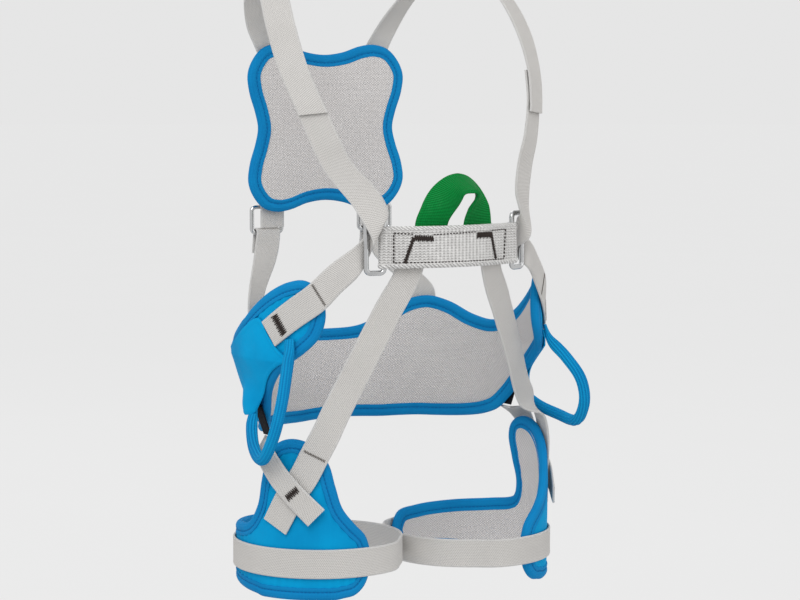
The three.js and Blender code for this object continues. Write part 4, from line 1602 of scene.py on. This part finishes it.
    def ring_bar(self, side: Side, turn: float) -> tuple[Array, Array]:
        """Where a ring's inner bar stands in plan, and the direction of the ring away from it.

        Args:
            side: The ring's side.
            turn: How far the ring is turned back, in degrees.

        Returns:
            The bar's place and the direction.
        """
        inner_y = self.centre_y - math.sqrt(self.middle**2 - self.bar_x**2)
        angle = math.radians(turn)
        inner = np.array([side.value * self.bar_x, inner_y, 0.0])
        return inner, np.array([side.value * math.cos(angle), math.sin(angle), 0.0])


def wire_loop(centre: Array, along: Array, width: float, height: float, corner: float, wire: float) -> Shape:
    """An upright rounded rectangle of wire.

    Args:
        centre: Its middle.
        along: The direction of its width.
        width: Width between the middles of its bars.
        height: Height between the middles of its bars.
        corner: Radius of its corners.
        wire: Radius of the wire.

    Returns:
        The closed ring.
    """
    points = []
    for index, (sx, sz) in enumerate(((1, 1), (-1, 1), (-1, -1), (1, -1))):
        angle = np.radians(90 * index + np.linspace(0, 90, CORNER_STEPS))
        x = sx * (width / 2 - corner) + corner * np.cos(angle)
        z = sz * (height / 2 - corner) + corner * np.sin(angle)
        points.append(centre + x[:, None] * along + z[:, None] * np.array([0, 0, 1.0]))
    line = spaced(np.vstack(points), WIRE_STEP, closed=True)
    ahead = unit(np.roll(line, -1, axis=0) - np.roll(line, 1, axis=0))
    normal = unit(np.array([-along[1], along[0], 0.0]))
    angle = np.arange(WIRE_SIDES + 1) * TAU / WIRE_SIDES
    around = angle[:-1, None]
    rings = line[:, None] + wire * (np.cos(around) * np.cross(ahead, normal)[:, None] + np.sin(around) * normal)
    return loft(rings, weave_grid(lengths(np.vstack([line, line[:1]])), angle * wire), True)


@dataclass
class FrontRing:
    """Wire ring at one end of the band."""

    shop: Workshop
    band: FrontBand
    side: Side
    turn: float
    span: float = 13
    mid_z: float = 83.5
    height: float = 43
    wire: float = 1.9
    corner: float = 3.2

    def outer_bar(self) -> Array:
        """Middle of the outer bar."""
        inner, along = self.band.ring_bar(self.side, self.turn)
        return inner + along * self.span

    def build(self) -> None:
        """Makes and dresses the ring."""
        inner, along = self.band.ring_bar(self.side, self.turn)
        centre = inner + along * self.span / 2 + np.array([0, 0, self.mid_z])
        shape = wire_loop(centre, along, self.span, self.height - 2 * self.wire, self.corner, self.wire)
        self.shop.piece(f"ring_wire_{self.side.label}", shape, Stock.WIRE, f"ring_{self.side.label}")


@dataclass
class TieInLoop:
    """Green loop for tying in: legs flat behind the band, crown with its width front to back."""

    shop: Workshop
    width: float = 25
    thick: float = 2.6
    lean: float = 0.55
    shift: float = 2.2
    sway: float = 6.0
    row_step: float = 0.8
    lip: float = 0.3
    selvedge: float = 1.4
    rib_height: float = 0.09
    rib_pitch: float = 2.3
    path: Sequence[tuple[float, ...]] = (
        (19, -73.9, 83.5, 9), (19, -73.9, 98, 9), (16.6, -75.5, 108.5, 24), (12.8, -76.5, 118, 55),
        (8.2, -77, 123.5, 80), (3.5, -77, 125.5, 90),
    )

    def build(self) -> None:
        """Makes and dresses the loop."""
        x, y, z, twist = np.array(self.path).T
        angle = np.radians(twist)
        rise = (z - z[1]).clip(0) / (z[-1] - z[1])
        sway, lean = self.shift + self.sway * rise, self.lean * np.sin(angle) * rise
        right = np.stack([x + sway, y, z, np.cos(angle), np.sin(angle), lean], axis=1)
        left = np.stack([sway - x, y, z, -np.cos(angle), np.sin(angle), lean], axis=1)[::-1]
        strand = Rows.fixed(np.vstack([right, left]), 1, self.width).strand(self.thick, self.row_step)
        ribs = self.rib_height * np.cos(TAU * strand.run / self.rib_pitch)
        shape = strand.shape(lip=self.lip, edge=self.selvedge, relief=ribs[:, None])
        self.shop.piece("tie_in_loop_web", shape, Stock.GREEN, "tie_in_loop")


@dataclass
class ChestStrap:
    """Web from the shoulder lap round the ring and down to the hip."""

    shop: Workshop
    side: Side
    ring: FrontRing
    front_z: float = 88.5
    back_z: float = 78.5
    front_angle: float = 95
    path: Sequence[tuple[float, ...]] = (
        (99, -23, 205, 0.84, 0.54, -0.1), (94, -34, 183, 0.84, 0.54, -0.1), (86, -43, 157, 0.84, 0.5, -0.2),
        (78.3, -48, 139, 0.83, 0.46, -0.3), (63.8, -66.3, 113.4, 0.76, 0.36, -0.54),
        (60, -76.6, 94.8, 0.5, 0.12, -0.86),
    )
    bridge: Sequence[tuple[float, ...]] = (
        (71.5, -63.5, 72.5, -0.08, -0.1, -0.99),
        (84, -55, 60, -0.3, -0.3, -0.9),
    )
    hip: Sequence[Triple] = (
        (129, 46.5, 8.8), (120, 35, STRAP_OFFSET), (114, 27.3, STRAP_OFFSET), (107.8, 19.3, STRAP_OFFSET),
    )
    wrap_rows: int = 5
    tack: BarTack = BarTack(-7.8, 7.8, 7.6, 0.72)
    tack_from_end: float = 12.0
    line: BarTack = BarTack(-9.0, 8.5, 2.4, 0.62, 0.2)
    line_from_end: float = 50.0

    def build(self) -> None:
        """Makes and dresses the strap and its bar tacks."""
        sign = self.side.value
        bar = self.ring.outer_bar()
        reach = self.ring.wire + 2 * LAYER_GAP + WEB_THICK / 2
        share = np.linspace(0, 1, self.wrap_rows)
        angle = np.radians(self.front_angle + (180 - self.front_angle) * share)
        x = bar[0] - sign * reach * np.sin(angle)
        y = bar[1] - reach * np.cos(angle)
        z = self.front_z + (self.back_z - self.front_z) * share
        down = np.tile((0.0, 0.0, -1.0), (self.wrap_rows, 1))
        strand = Rows.joined(
            Rows.fixed(self.path, sign, WEB_WIDTH),
            Rows(np.stack([x, y, z], axis=1), down, np.full(self.wrap_rows, WEB_WIDTH)),
            Rows.fixed(self.bridge, sign, WEB_WIDTH),
            Rows.on_surface(partial(TORSO.beside, self.side), self.hip, WEB_WIDTH, (0, 0, -1)),
        ).strand()
        label = self.side.label
        self.shop.piece(f"chest_web_{label}", strand.shape(), Stock.WEB, f"chest_strap_{label}")
        end = float(strand.run[-1])
        face = strand.face_toward(-1, strand.centre[-1] * (1, 1, 0))
        tack = self.tack.on(strand, end - self.tack_from_end, face)
        line = self.line.on(strand, end - self.line_from_end, face)
        self.shop.piece(f"hip_web_stitching_{label}", tack, Stock.THREAD)
        self.shop.piece(f"hip_web_line_{label}", line, Stock.SOFT_THREAD)


@dataclass
class ShoulderStrap:
    """Web from the lap, over the shoulder and down the back plate to its frame."""

    shop: Workshop
    side: Side
    down_x: float = 44
    top_z: float = 212
    end_z: float = 86
    offset: float = SHOULDER_OFFSET
    down_rows: int = 3
    path: Sequence[tuple[float, ...]] = (
        (92.9, -39.5, 175, 0.84, 0.54, -0.1), (95.3, -36, 183, 0.84, 0.54, -0.1),
        (100.4, -25, 205, 0.85, 0.52, -0.1), (101.5, -8, 235, 0.9, 0.4, -0.15),
        (97, 14, 263, 0.93, 0.25, -0.25), (88, 42, 284, 0.96, 0.15, -0.25), (78, 70, 285, 0.97, 0.2, 0),
        (66, 101, 263, 0.97, 0.1, 0.2), (56, 119, 238, 0.98, -0.08, 0.15),
    )

    def build(self) -> None:
        """Makes and dresses the strap."""
        sign = self.side.value
        z = np.linspace(self.top_z, self.end_z, self.down_rows)
        slope = -2 * BackPlate.bow * self.down_x
        centre = BackPlate.on_back(sign * self.down_x, z, self.offset)
        across = np.tile((float(sign), slope, 0.0), (self.down_rows, 1))
        down = Rows(centre, unit(across), np.full(self.down_rows, WEB_WIDTH))
        strand = Rows.joined(Rows.fixed(self.path, sign, WEB_WIDTH), down).strand()
        label = self.side.label
        self.shop.piece(f"shoulder_web_{label}", strand.shape(), Stock.WEB, f"shoulder_strap_{label}")


@dataclass
class RearStrap:
    """Web from the belt to the back plate, turned round the lower bar of a wire frame, with its tail."""

    shop: Workshop
    side: Side
    frame_x: float = 47.5
    frame_z: float = 92
    frame_width: float = 30
    frame_height: float = 23
    wire: float = 1.7
    corner: float = 3
    bridge: Triple = (52.5, 115.5, 64)
    turn_deg: Sequence[float] = (0, 45, 90, 135, 180)
    tail: Sequence[Span] = ((8, 4.2), (16, 5.5))
    tack: BarTack = BarTack(-8, 8, 4.5, 0.85)
    tack_place: float = 9
    tack_row: int = 3
    run: Sequence[Triple] = ((37, 4, STRAP_OFFSET), (37, 20, STRAP_OFFSET), (36.5, 36, 8))

    def build(self) -> None:
        """Makes and dresses the frame and the strap."""
        sign, label = self.side.value, self.side.label
        offset = SHOULDER_OFFSET + WEB_THICK / 2 + LAYER_GAP + self.wire
        centre = BackPlate.on_back(sign * self.frame_x, self.frame_z, offset)
        along = unit(np.array([sign, -2 * BackPlate.bow * self.frame_x, 0.0]))
        wide, high = self.frame_width - 2 * self.wire, self.frame_height - 2 * self.wire
        shape = wire_loop(centre, along, wide, high, self.corner, self.wire)
        self.shop.piece(f"back_frame_{label}", shape, Stock.WIRE, f"back_buckle_{label}")
        bar = centre + np.array([0, 0, self.wire - self.frame_height / 2])
        reach = self.wire + LAYER_GAP + WEB_THICK / 2
        angle = np.radians(self.turn_deg)
        turns = bar + reach * np.stack([0 * angle, -np.cos(angle), np.sin(angle)], axis=1)
        drop, out = np.array(self.tail).T
        tail = bar + np.stack([0 * drop, out, -drop], axis=1)
        middle = np.vstack([np.array(self.bridge) * (sign, 1, 1), turns, tail])
        upper = Rows(middle, np.tile(along, (len(middle), 1)), np.full(len(middle), REAR_WIDTH))
        lower = Rows.on_surface(partial(TORSO.beside, self.side), self.run, REAR_WIDTH, along)
        strand = Rows.joined(lower, upper).strand()
        self.shop.piece(f"rear_web_{label}", strand.shape(), Stock.REAR_WEB, f"rear_strap_{label}")
        tack = self.tack.on(strand, self.tack_place, strand.face_toward(self.tack_row, (0, 1, 0)))
        self.shop.piece(f"rear_web_stitching_{label}", tack, Stock.THREAD)


@dataclass
class Belt:
    """Padded belt, by the angle from the middle of the back."""

    shop: Workshop
    edge: Sequence[Triple] = (
        (0, -62, 7), (12, -62.5, 9), (22, -63, 19), (31, -62.5, 28), (39.5, -62, 31), (49, -62, 26.5),
        (59, -61.5, 17.5), (69, -60, 13.5), (77, -57.5, 16.5), (85, -52.5, 24), (92, -42, 32.5),
        (99.5, -26, 41.5), (108, -12, 50.5), (116, -2, 56.5), (123.5, 7, 58), (129.5, 18, 51), (132, 34, 34),
    )
    rise_turn: float = 41
    rise_spread: float = 25
    right_drop: float = 5
    field_rows: int = 26

    def build(self) -> None:
        """Makes and dresses the belt."""
        turn, low, high = np.array(self.edge).T
        x = TORSO.distance(turn)
        near = self.rise_spread - np.abs(turn - self.rise_turn)
        right = high - self.right_drop * smoothstep(near, 0, self.rise_spread)
        corners = np.vstack([
            np.stack([-x[:0:-1], low[:0:-1]], axis=1),
            np.stack([x, low], axis=1),
            np.stack([x[-2::-1], high[-2::-1]], axis=1),
            np.stack([-x[1:-1], right[1:-1]], axis=1),
        ])
        PaddedPanel(self.shop, "belt", "", corners, TORSO.along, rows=self.field_rows).build()


@dataclass
class BackPlate:
    """Padded plate behind the shoulders."""

    shop: Workshop
    outline: Sequence[Span] = (
        (0, 106), (16, 104), (30, 99.5), (42, 98), (54, 101), (63, 110), (67.5, 121), (66, 135), (61, 150),
        (58.5, 162), (61, 174), (66, 189), (67.5, 203), (63, 214), (54, 223), (42, 226), (30, 224.5), (16, 220),
        (0, 218),
    )
    lobes: Sequence[Span] = ((-50, 108), (50, 108), (50, 216), (-50, 216))
    swell_cap: float = 2.2
    bow = 0.0009
    y = 114.0

    @classmethod
    def on_back(cls, x: Any, z: Any, offset: Any) -> Array:
        """A point on the back plate."""
        x, z, offset = np.broadcast_arrays(*(np.asarray(v, float) for v in (x, z, offset)))
        return np.stack([x, cls.y + offset - cls.bow * x * x, z], axis=-1)

    def build(self) -> None:
        """Makes and dresses the plate."""
        right = np.array(self.outline, float)
        left = right[-2:0:-1] * (-1, 1)
        corners = np.vstack([right, left])
        PaddedPanel(self.shop, "back", "", corners, self.on_back, lobes=self.lobes, cap=self.swell_cap).build()


@dataclass
class Hip:
    """Panel, tape and gear loop on one hip."""

    shop: Workshop
    side: Side
    tab_low: float
    sag: float
    out: float
    hem_lift: float
    panel: Sequence[Triple] = (
        (58, -44, 9), (66, -45, 5), (76, -44, 8), (84, -43, 14), (90, -42, 20.5), (93.5, -40, 24),
        (97, -31, 27.5), (102, -17, 30), (107, -8.5, 19), (111.5, -3.5, 9.6), (115, -0.8, 4.6),
        (116.2, 0.0, 2.8),
    )
    panel_inner: float = 7.3
    panel_outer: float = 8.2
    hem_turn: float = 89
    hem_spread: float = 15
    hem_top: float = -12
    hem_bottom: float = -41
    tab_turn: float = 88.5
    tab_width: float = 13
    tab_thick: float = 1
    tab_offset: float = 7.6
    tab_top: float = -36
    tab_rows: int = 5
    tab_step: float = 1.5
    tab_lip: float = 0.1
    tab_selvedge: float = 1.2
    panel_columns: int = 72
    panel_rows: int = 34
    rim_per_degree: float = 1.9
    hem_height: float = 0.4
    hem_start: Span = (0.0, 0.5)
    hem_width: Span = (2.4, 3.2)
    fold_height: float = 0.2
    fold_width: Span = (2, 14)
    fold_turn: float = 0.42
    fold_rise: float = 0.16
    fold_from: Span = (92, -10)
    crown: float = 0.2
    crown_width: Span = (2, 10)
    cord_radius: float = CORD_RADIUS
    cord_step: float = 1.6
    cord_end: Span = (3.9, 1.3)
    cord_ease: float = 20
    ribs: int = CORD_RIBS
    rib_depth: float = 0.45
    rib_points: int = 8
    cord: Sequence[tuple[float, ...]] = (
        (107.8, -30.5, 16.2, 0, 0), (110, -34, 6, 0, 0), (118, -44.5, -8, 0.1, 0), (126, -52.5, -25, 0.4, 0),
        (131, -50, -44, 0.8, 0), (132, -36, -60, 1, 0.3), (127.5, -14, -58, 0.8, 1), (118, 9.5, -47, 0.3, 0.8),
        (112.2, 14.5, -31, 0, 0),
    )

    def place(self, turn: Any, z: Any, offset: Any) -> Array:
        """A point of the waist on this side."""
        return TORSO.beside(self.side, turn, z, offset)

    def lift(self, turn: Array, z: Array) -> Array:
        """How far the panel stands off the belt where its hem covers the end of the loop."""
        around = smoothstep(self.hem_spread - np.abs(turn - self.hem_turn), 0, self.hem_spread)
        return self.hem_lift * around * smoothstep(self.hem_top - z, 0, self.hem_top - self.hem_bottom)

    def build(self) -> None:
        """Makes and dresses the panel, the tape and the loop."""
        label = self.side.label
        self.cover(label)
        tape = self.tape_rows(np.linspace(self.tab_top, self.tab_low, self.tab_rows))
        shape = tape.strand(self.tab_thick, self.tab_step).shape(lip=self.tab_lip, edge=self.tab_selvedge)
        self.shop.piece(f"hip_tape_{label}", shape, Stock.TAPE, f"hip_tab_{label}")
        self.shop.piece(f"gear_loop_cord_{label}", self.gear_loop(), Stock.CORD, f"gear_loop_{label}")

    def tape_rows(self, z: Array) -> Rows:
        """Rows of the tape at these heights."""
        before, centre, after = (self.place(self.tab_turn + step, z, self.tab_offset) for step in (-1, 0, 1))
        return Rows(centre, unit(after - before), np.full(len(z), self.tab_width))

    def gear_loop(self) -> Shape:
        """The ribbed cord, pressed flat against the waist at both ends.

        Returns:
            The closed surface.
        """
        x, y, z, sag, out = np.array(self.cord).T
        path = np.stack([self.side.value * (x + self.out * out), y, z - self.sag * sag], axis=1)
        line = spaced(catmull_rom(path, PATH_SAMPLES), self.cord_step)
        run = lengths(line)
        full = smoothstep(np.minimum(run, run[-1] - run), 0, self.cord_ease)[:, None]
        count = self.rib_points * self.ribs
        angle = np.arange(count) * TAU / count
        ribbed = self.cord_radius - self.rib_depth * (0.5 - 0.5 * np.cos(self.ribs * angle))
        wide, thick = (end + (ribbed - end) * full for end in self.cord_end)
        along = unit(np.gradient(line, axis=0))
        away = (line - (0, TORSO.centre_y, 0)) / (TORSO.half_width**2, TORSO.half_depth**2, 1) * (1, 1, 0)
        side = unit(np.cross(along, away))
        normal = np.cross(side, along)
        around, up = wide * np.cos(angle), thick * np.sin(angle)
        rings = line[:, None] + around[..., None] * side[:, None] + up[..., None] * normal[:, None]
        return loft(rings, weave_grid(run, np.arange(count + 1) * TAU * self.cord_radius / count))

    def cover(self, label: str) -> None:
        """The panel, hemmed along its edge and drawn into soft folds toward its narrow end.

        Args:
            label: The word for this side.
        """
        turn, low, high = np.array(self.panel).T
        x = np.linspace(turn[0], turn[-1], self.panel_columns)
        share = np.linspace(0, 1, self.panel_rows)
        lines = (catmull_rom(np.stack([turn, edge], axis=1), PANEL_SAMPLES) for edge in (low, high))
        lows, highs = (np.interp(x, line[:, 0], line[:, 1]) for line in lines)
        tall = (highs - lows)[:, None]
        z = lows[:, None] + tall * share
        turns = np.broadcast_to(x[:, None], z.shape)
        rim = np.minimum(np.minimum(share, 1 - share) * tall, (x[-1] - x)[:, None] * self.rim_per_degree)
        hem = self.hem_height * (1 - smoothstep(rim, *self.hem_width)) * smoothstep(rim, *self.hem_start)
        wave = np.sin(self.fold_turn * (turns - self.fold_from[0]) + self.fold_rise * (z - self.fold_from[1]))
        fold = wave * smoothstep(rim, *self.fold_width) * self.fold_height
        lift = self.lift(turns, z)
        crown = self.crown * smoothstep(rim, *self.crown_width)
        inner = self.place(turns, z, self.panel_inner + lift)
        outer = self.place(turns, z, self.panel_outer + lift + hem + fold + crown)
        flat = np.stack([TORSO.distance(turns), z], axis=-1)
        shape = slab(inner, outer, flat * MM)
        piece = self.shop.piece(f"hip_panel_{label}", shape, Stock.PANEL, f"hip_cover_{label}")


@dataclass
class LegLoop:
    """Leg pad with its cloth and binding, and the web that closes the loop."""

    shop: Workshop
    side: Side
    strap_z: float = -143
    strap_bare: float = 3
    strap_from: float = -72
    strap_to: float = 167
    strap_ease: float = 26
    strap_steps: int = 200
    field_step: float = 2.8
    field_rows: int = 22
    swell_cap: float = 1.5
    edge: Sequence[Triple] = (
        (-56, -141, -141), (-52, -159, -125), (-44, -167, -116), (-35, -169, -104), (-30, -170, -88),
        (-25, -170, -71), (-14, -170, -58), (0, -170, -54), (12, -170, -58), (20, -170, -68), (25, -170, -86),
        (29, -169, -104), (39, -168, -117), (60, -166, -121), (90, -163, -123), (120, -160, -125),
        (140, -156, -128), (148, -142, -142),
    )

    def build(self) -> None:
        """Makes and dresses the pad and the strap round it."""
        thigh, label = THIGHS[self.side], self.side.label
        turn, low, high = np.array(self.edge).T
        x = np.radians(turn) * thigh.radius
        corners = np.vstack([np.stack([x, low], axis=1), np.stack([x[-2:0:-1], high[-2:0:-1]], axis=1)])
        PaddedPanel(
            self.shop,
            "leg",
            f"_{label}",
            corners,
            thigh.along,
            step=self.field_step,
            rows=self.field_rows,
            cap=self.swell_cap,
        ).build()
        count = self.strap_steps
        turn = self.strap_from + 360 * np.arange(count) / count
        off, around = self.strap_to - self.strap_ease / 2, self.strap_from + 360
        bare = smoothstep(turn, off, off + self.strap_ease) - smoothstep(turn, around - self.strap_ease, around)
        offset = STRAP_OFFSET + (self.strap_bare - STRAP_OFFSET) * bare
        centre = thigh.at(turn, self.strap_z, offset)
        across, width = np.tile((0.0, 0.0, 1.0), (count, 1)), np.full(count, WEB_WIDTH)
        strand = Strand(centre, across, width, np.full(count, WEB_THICK), closed=True)
        self.shop.piece(f"leg_web_{label}", strand.shape(), Stock.WEB, f"leg_strap_{label}")


@dataclass
class Riser:
    """Web from the band to the leg pad: it faces forward at the band and outward on the pad."""

    shop: Workshop
    side: Side
    lead: Triple
    lead_face: float
    entry: Triple
    band_inner: float = 120
    top: Sequence[Triple] = ((33.5, -71.7, 80), (34, -71.6, 66))
    face: Sequence[Span] = ((0.3, 12), (0.62, 18))
    pad: Sequence[Triple] = ((-15.5, -66, 8), (-9, -80, 8), (-0.5, -94, 8), (11, -117, 8))
    toward: Triple = (0.6, 0.6, 0.5)
    tack: BarTack = BarTack(-8.5, 8.5, 2.4, 0.62, 0.2)
    tack_z: float = -66

    def build(self) -> None:
        """Makes and dresses the strap and its bar tack."""
        sign, thigh, label = self.side.value, THIGHS[self.side], self.side.label
        tilt = math.asin(self.top[0][0] / self.band_inner)
        top = np.array(self.top) * (sign, 1, 1)
        straight = np.tile((sign * math.cos(tilt), math.sin(tilt), 0.0), (len(top), 1))
        end = thigh.at(*self.lead)
        along = end - top[-1]
        parts, angles = np.array([*self.face, (1.0, self.lead_face)]).T
        turn = np.radians(angles)
        facing = np.stack([sign * np.sin(turn), -np.cos(turn), 0 * turn], axis=1)
        across = unit(np.cross(along, facing))
        across = np.where(across[:, :1] * sign < 0, -across, across)
        middle = top[-1] + parts[:, None] * along
        strand = Rows.joined(
            Rows(top, straight, np.full(len(top), WEB_WIDTH)),
            Rows(middle, across, np.full(len(middle), WEB_WIDTH)),
            Rows.on_surface(thigh.at, [self.entry, *self.pad], WEB_WIDTH, np.array(self.toward) * (sign, 1, 1)),
        ).strand()
        self.shop.piece(f"riser_web_{label}", strand.shape(), Stock.WEB, f"riser_{label}")
        low = int(np.argmin(np.abs(strand.centre[:, 2] - (self.tack_z - thigh.drop))))
        face = strand.face_toward(low, thigh.outward(strand.centre[low]))
        tack = self.tack.on(strand, float(strand.run[low]), face)
        self.shop.piece(f"riser_stitching_{label}", tack, Stock.SOFT_THREAD)


@dataclass
class SideStrap:
    """Narrow web from the hip tape over the leg pad and the riser."""

    shop: Workshop
    hip: Hip
    over: Triple
    start_drop: float = 1.8
    run: Sequence[Triple] = (
        (7, -80, STACKED_OFFSET), (1.5, -87, STACKED_OFFSET), (-4, -94, STACKED_OFFSET),
        (-17, -109, STACKED_OFFSET),
    )
    toward: Triple = (0, -0.9, 0.4)
    tack: BarTack = BarTack(-5.4, 5.4, 6.4, 0.72)
    tack_from_end: float = 24.0

    def build(self) -> None:
        """Makes and dresses the strap and its bar tack."""
        side = self.hip.side
        thigh, label = THIGHS[side], side.label
        start = self.hip.tape_rows(np.array([self.hip.tab_low - self.start_drop]))
        rest = Rows.on_surface(thigh.at, [self.over, *self.run], SIDE_WIDTH, self.toward)
        strand = Rows.joined(start, rest).strand()
        self.shop.piece(f"side_web_{label}", strand.shape(), Stock.NARROW_WEB, f"side_strap_{label}")
        face = strand.face_toward(-1, thigh.outward(strand.centre[-1]))
        tack = self.tack.on(strand, float(strand.run[-1]) - self.tack_from_end, face)
        self.shop.piece(f"side_web_stitching_{label}", tack, Stock.THREAD)


@dataclass
class Studio:
    """Pale floor, soft light and the camera."""

    focal: float = 109.44
    distance: float = 1.8
    heading: Triple = (0.497, 0.861, -0.11)
    shift: float = 0.0625
    floor_z: float = -0.36
    floor_radius: float = 30.0
    floor_sides: int = 96
    floor_grain: Span = (3, 4)
    floor_tones: Span = (0.115, 0.125)
    floor_glow: float = 0.885
    floor_roughness: float = 0.95
    paper: float = 0.79
    sensor: float = 36
    lights: Sequence[tuple[str, Triple, float, float]] = (
        ("key_light", (-1.5, -1.4, 1.7), 1.6, 31.0),
        ("fill_light", (1.7, -1.5, 0.8), 1.8, 9.0),
        ("back_light", (0.3, 2.0, 1.6), 1.6, 9.0),
    )

    def build(self) -> None:
        """Makes the camera, the floor and the lights."""
        scene = bpy.context.scene
        scene.view_settings.view_transform = "Standard"
        ahead = Vector(self.heading).normalized()
        camera = bpy.data.objects.new("camera", bpy.data.cameras.new("camera"))
        camera.data.lens = self.focal
        camera.data.sensor_width = self.sensor
        camera.data.shift_y = self.shift
        camera.location = -ahead * self.distance
        camera.rotation_euler = ahead.to_track_quat("-Z", "Y").to_euler()
        scene.collection.objects.link(camera)
        scene.camera = camera
        self.paper_floor()
        for light in self.lights:
            self.light(*light)

    def paper_floor(self) -> None:
        """A wide pale floor that meets a background of the same tone."""
        angle = np.arange(self.floor_sides) * TAU / self.floor_sides
        ring = np.stack([np.cos(angle), np.sin(angle), 0 * angle], axis=1) * self.floor_radius
        mesh = bpy.data.meshes.new("floor")
        mesh.from_pydata((ring + (0, 0, self.floor_z)).tolist(), [], [list(range(self.floor_sides))])
        sheet = NodeSheet("pale_floor")
        dark, pale = ((tone, tone, tone, 1) for tone in self.floor_tones)
        paper = sheet.dress(
            Base_Color=sheet.mix(sheet.noise(*self.floor_grain), dark, pale),
            Roughness=self.floor_roughness,
            Emission_Color=(1, 1, 1, 1),
            Emission_Strength=self.paper * self.floor_glow,
            Specular_IOR_Level=0.0,
        )
        mesh.materials.append(paper)
        floor = bpy.data.objects.new("floor", mesh)
        bpy.context.scene.collection.objects.link(floor)
        world = bpy.data.worlds.new("studio")
        world.use_nodes = True
        world.node_tree.nodes["Background"].inputs["Color"].default_value = (self.paper,) * 3 + (1,)
        bpy.context.scene.world = world

    def light(self, name: str, place: Triple, size: float, power: float) -> None:
        """A square soft light that points at the harness.

        Args:
            name: The light's name.
            place: Where it stands, in metres.
            size: Length of its side, in metres.
            power: Its power in watts.
        """
        data = bpy.data.lights.new(name, "AREA")
        data.size = size
        data.energy = power
        lamp = bpy.data.objects.new(name, data)
        lamp.location = place
        lamp.rotation_euler = (-Vector(place)).to_track_quat("-Z", "Y").to_euler()
        bpy.context.scene.collection.objects.link(lamp)


def main() -> None:
    """Builds the studio and the harness, piece by piece."""
    logging.basicConfig(level=logging.INFO, format="%(name)s %(message)s")
    Studio().build()
    shop = Workshop()
    band = FrontBand(shop)
    band.build()
    TieInLoop(shop).build()
    Belt(shop).build()
    BackPlate(shop).build()
    hips = {
        Side.LEFT: Hip(shop, Side.LEFT, tab_low=-49, sag=-3, out=5.1, hem_lift=15.6),
        Side.RIGHT: Hip(shop, Side.RIGHT, tab_low=-58, sag=6.7, out=0, hem_lift=11.5),
    }
    risers = {
        Side.LEFT: Riser(shop, Side.LEFT, lead=(-35, -34.5, -8.5), lead_face=22, entry=(-23.5, -50, 4.4)),
        Side.RIGHT: Riser(shop, Side.RIGHT, lead=(-29, -36, 7.5), lead_face=19, entry=(-23, -50, 8.4)),
    }
    overs = {Side.LEFT: (8, -54, STACKED_OFFSET + 1.2), Side.RIGHT: (18, -65, 8.6)}
    ring_turns = {Side.LEFT: 23, Side.RIGHT: 14}
    for side in Side:
        ring = FrontRing(shop, band, side, ring_turns[side])
        ring.build()
        ChestStrap(shop, side, ring).build()
        ShoulderStrap(shop, side).build()
        RearStrap(shop, side).build()
        hips[side].build()
        LegLoop(shop, side).build()
        risers[side].build()
        SideStrap(shop, hips[side], overs[side]).build()


if __name__ == "__main__":
    main()
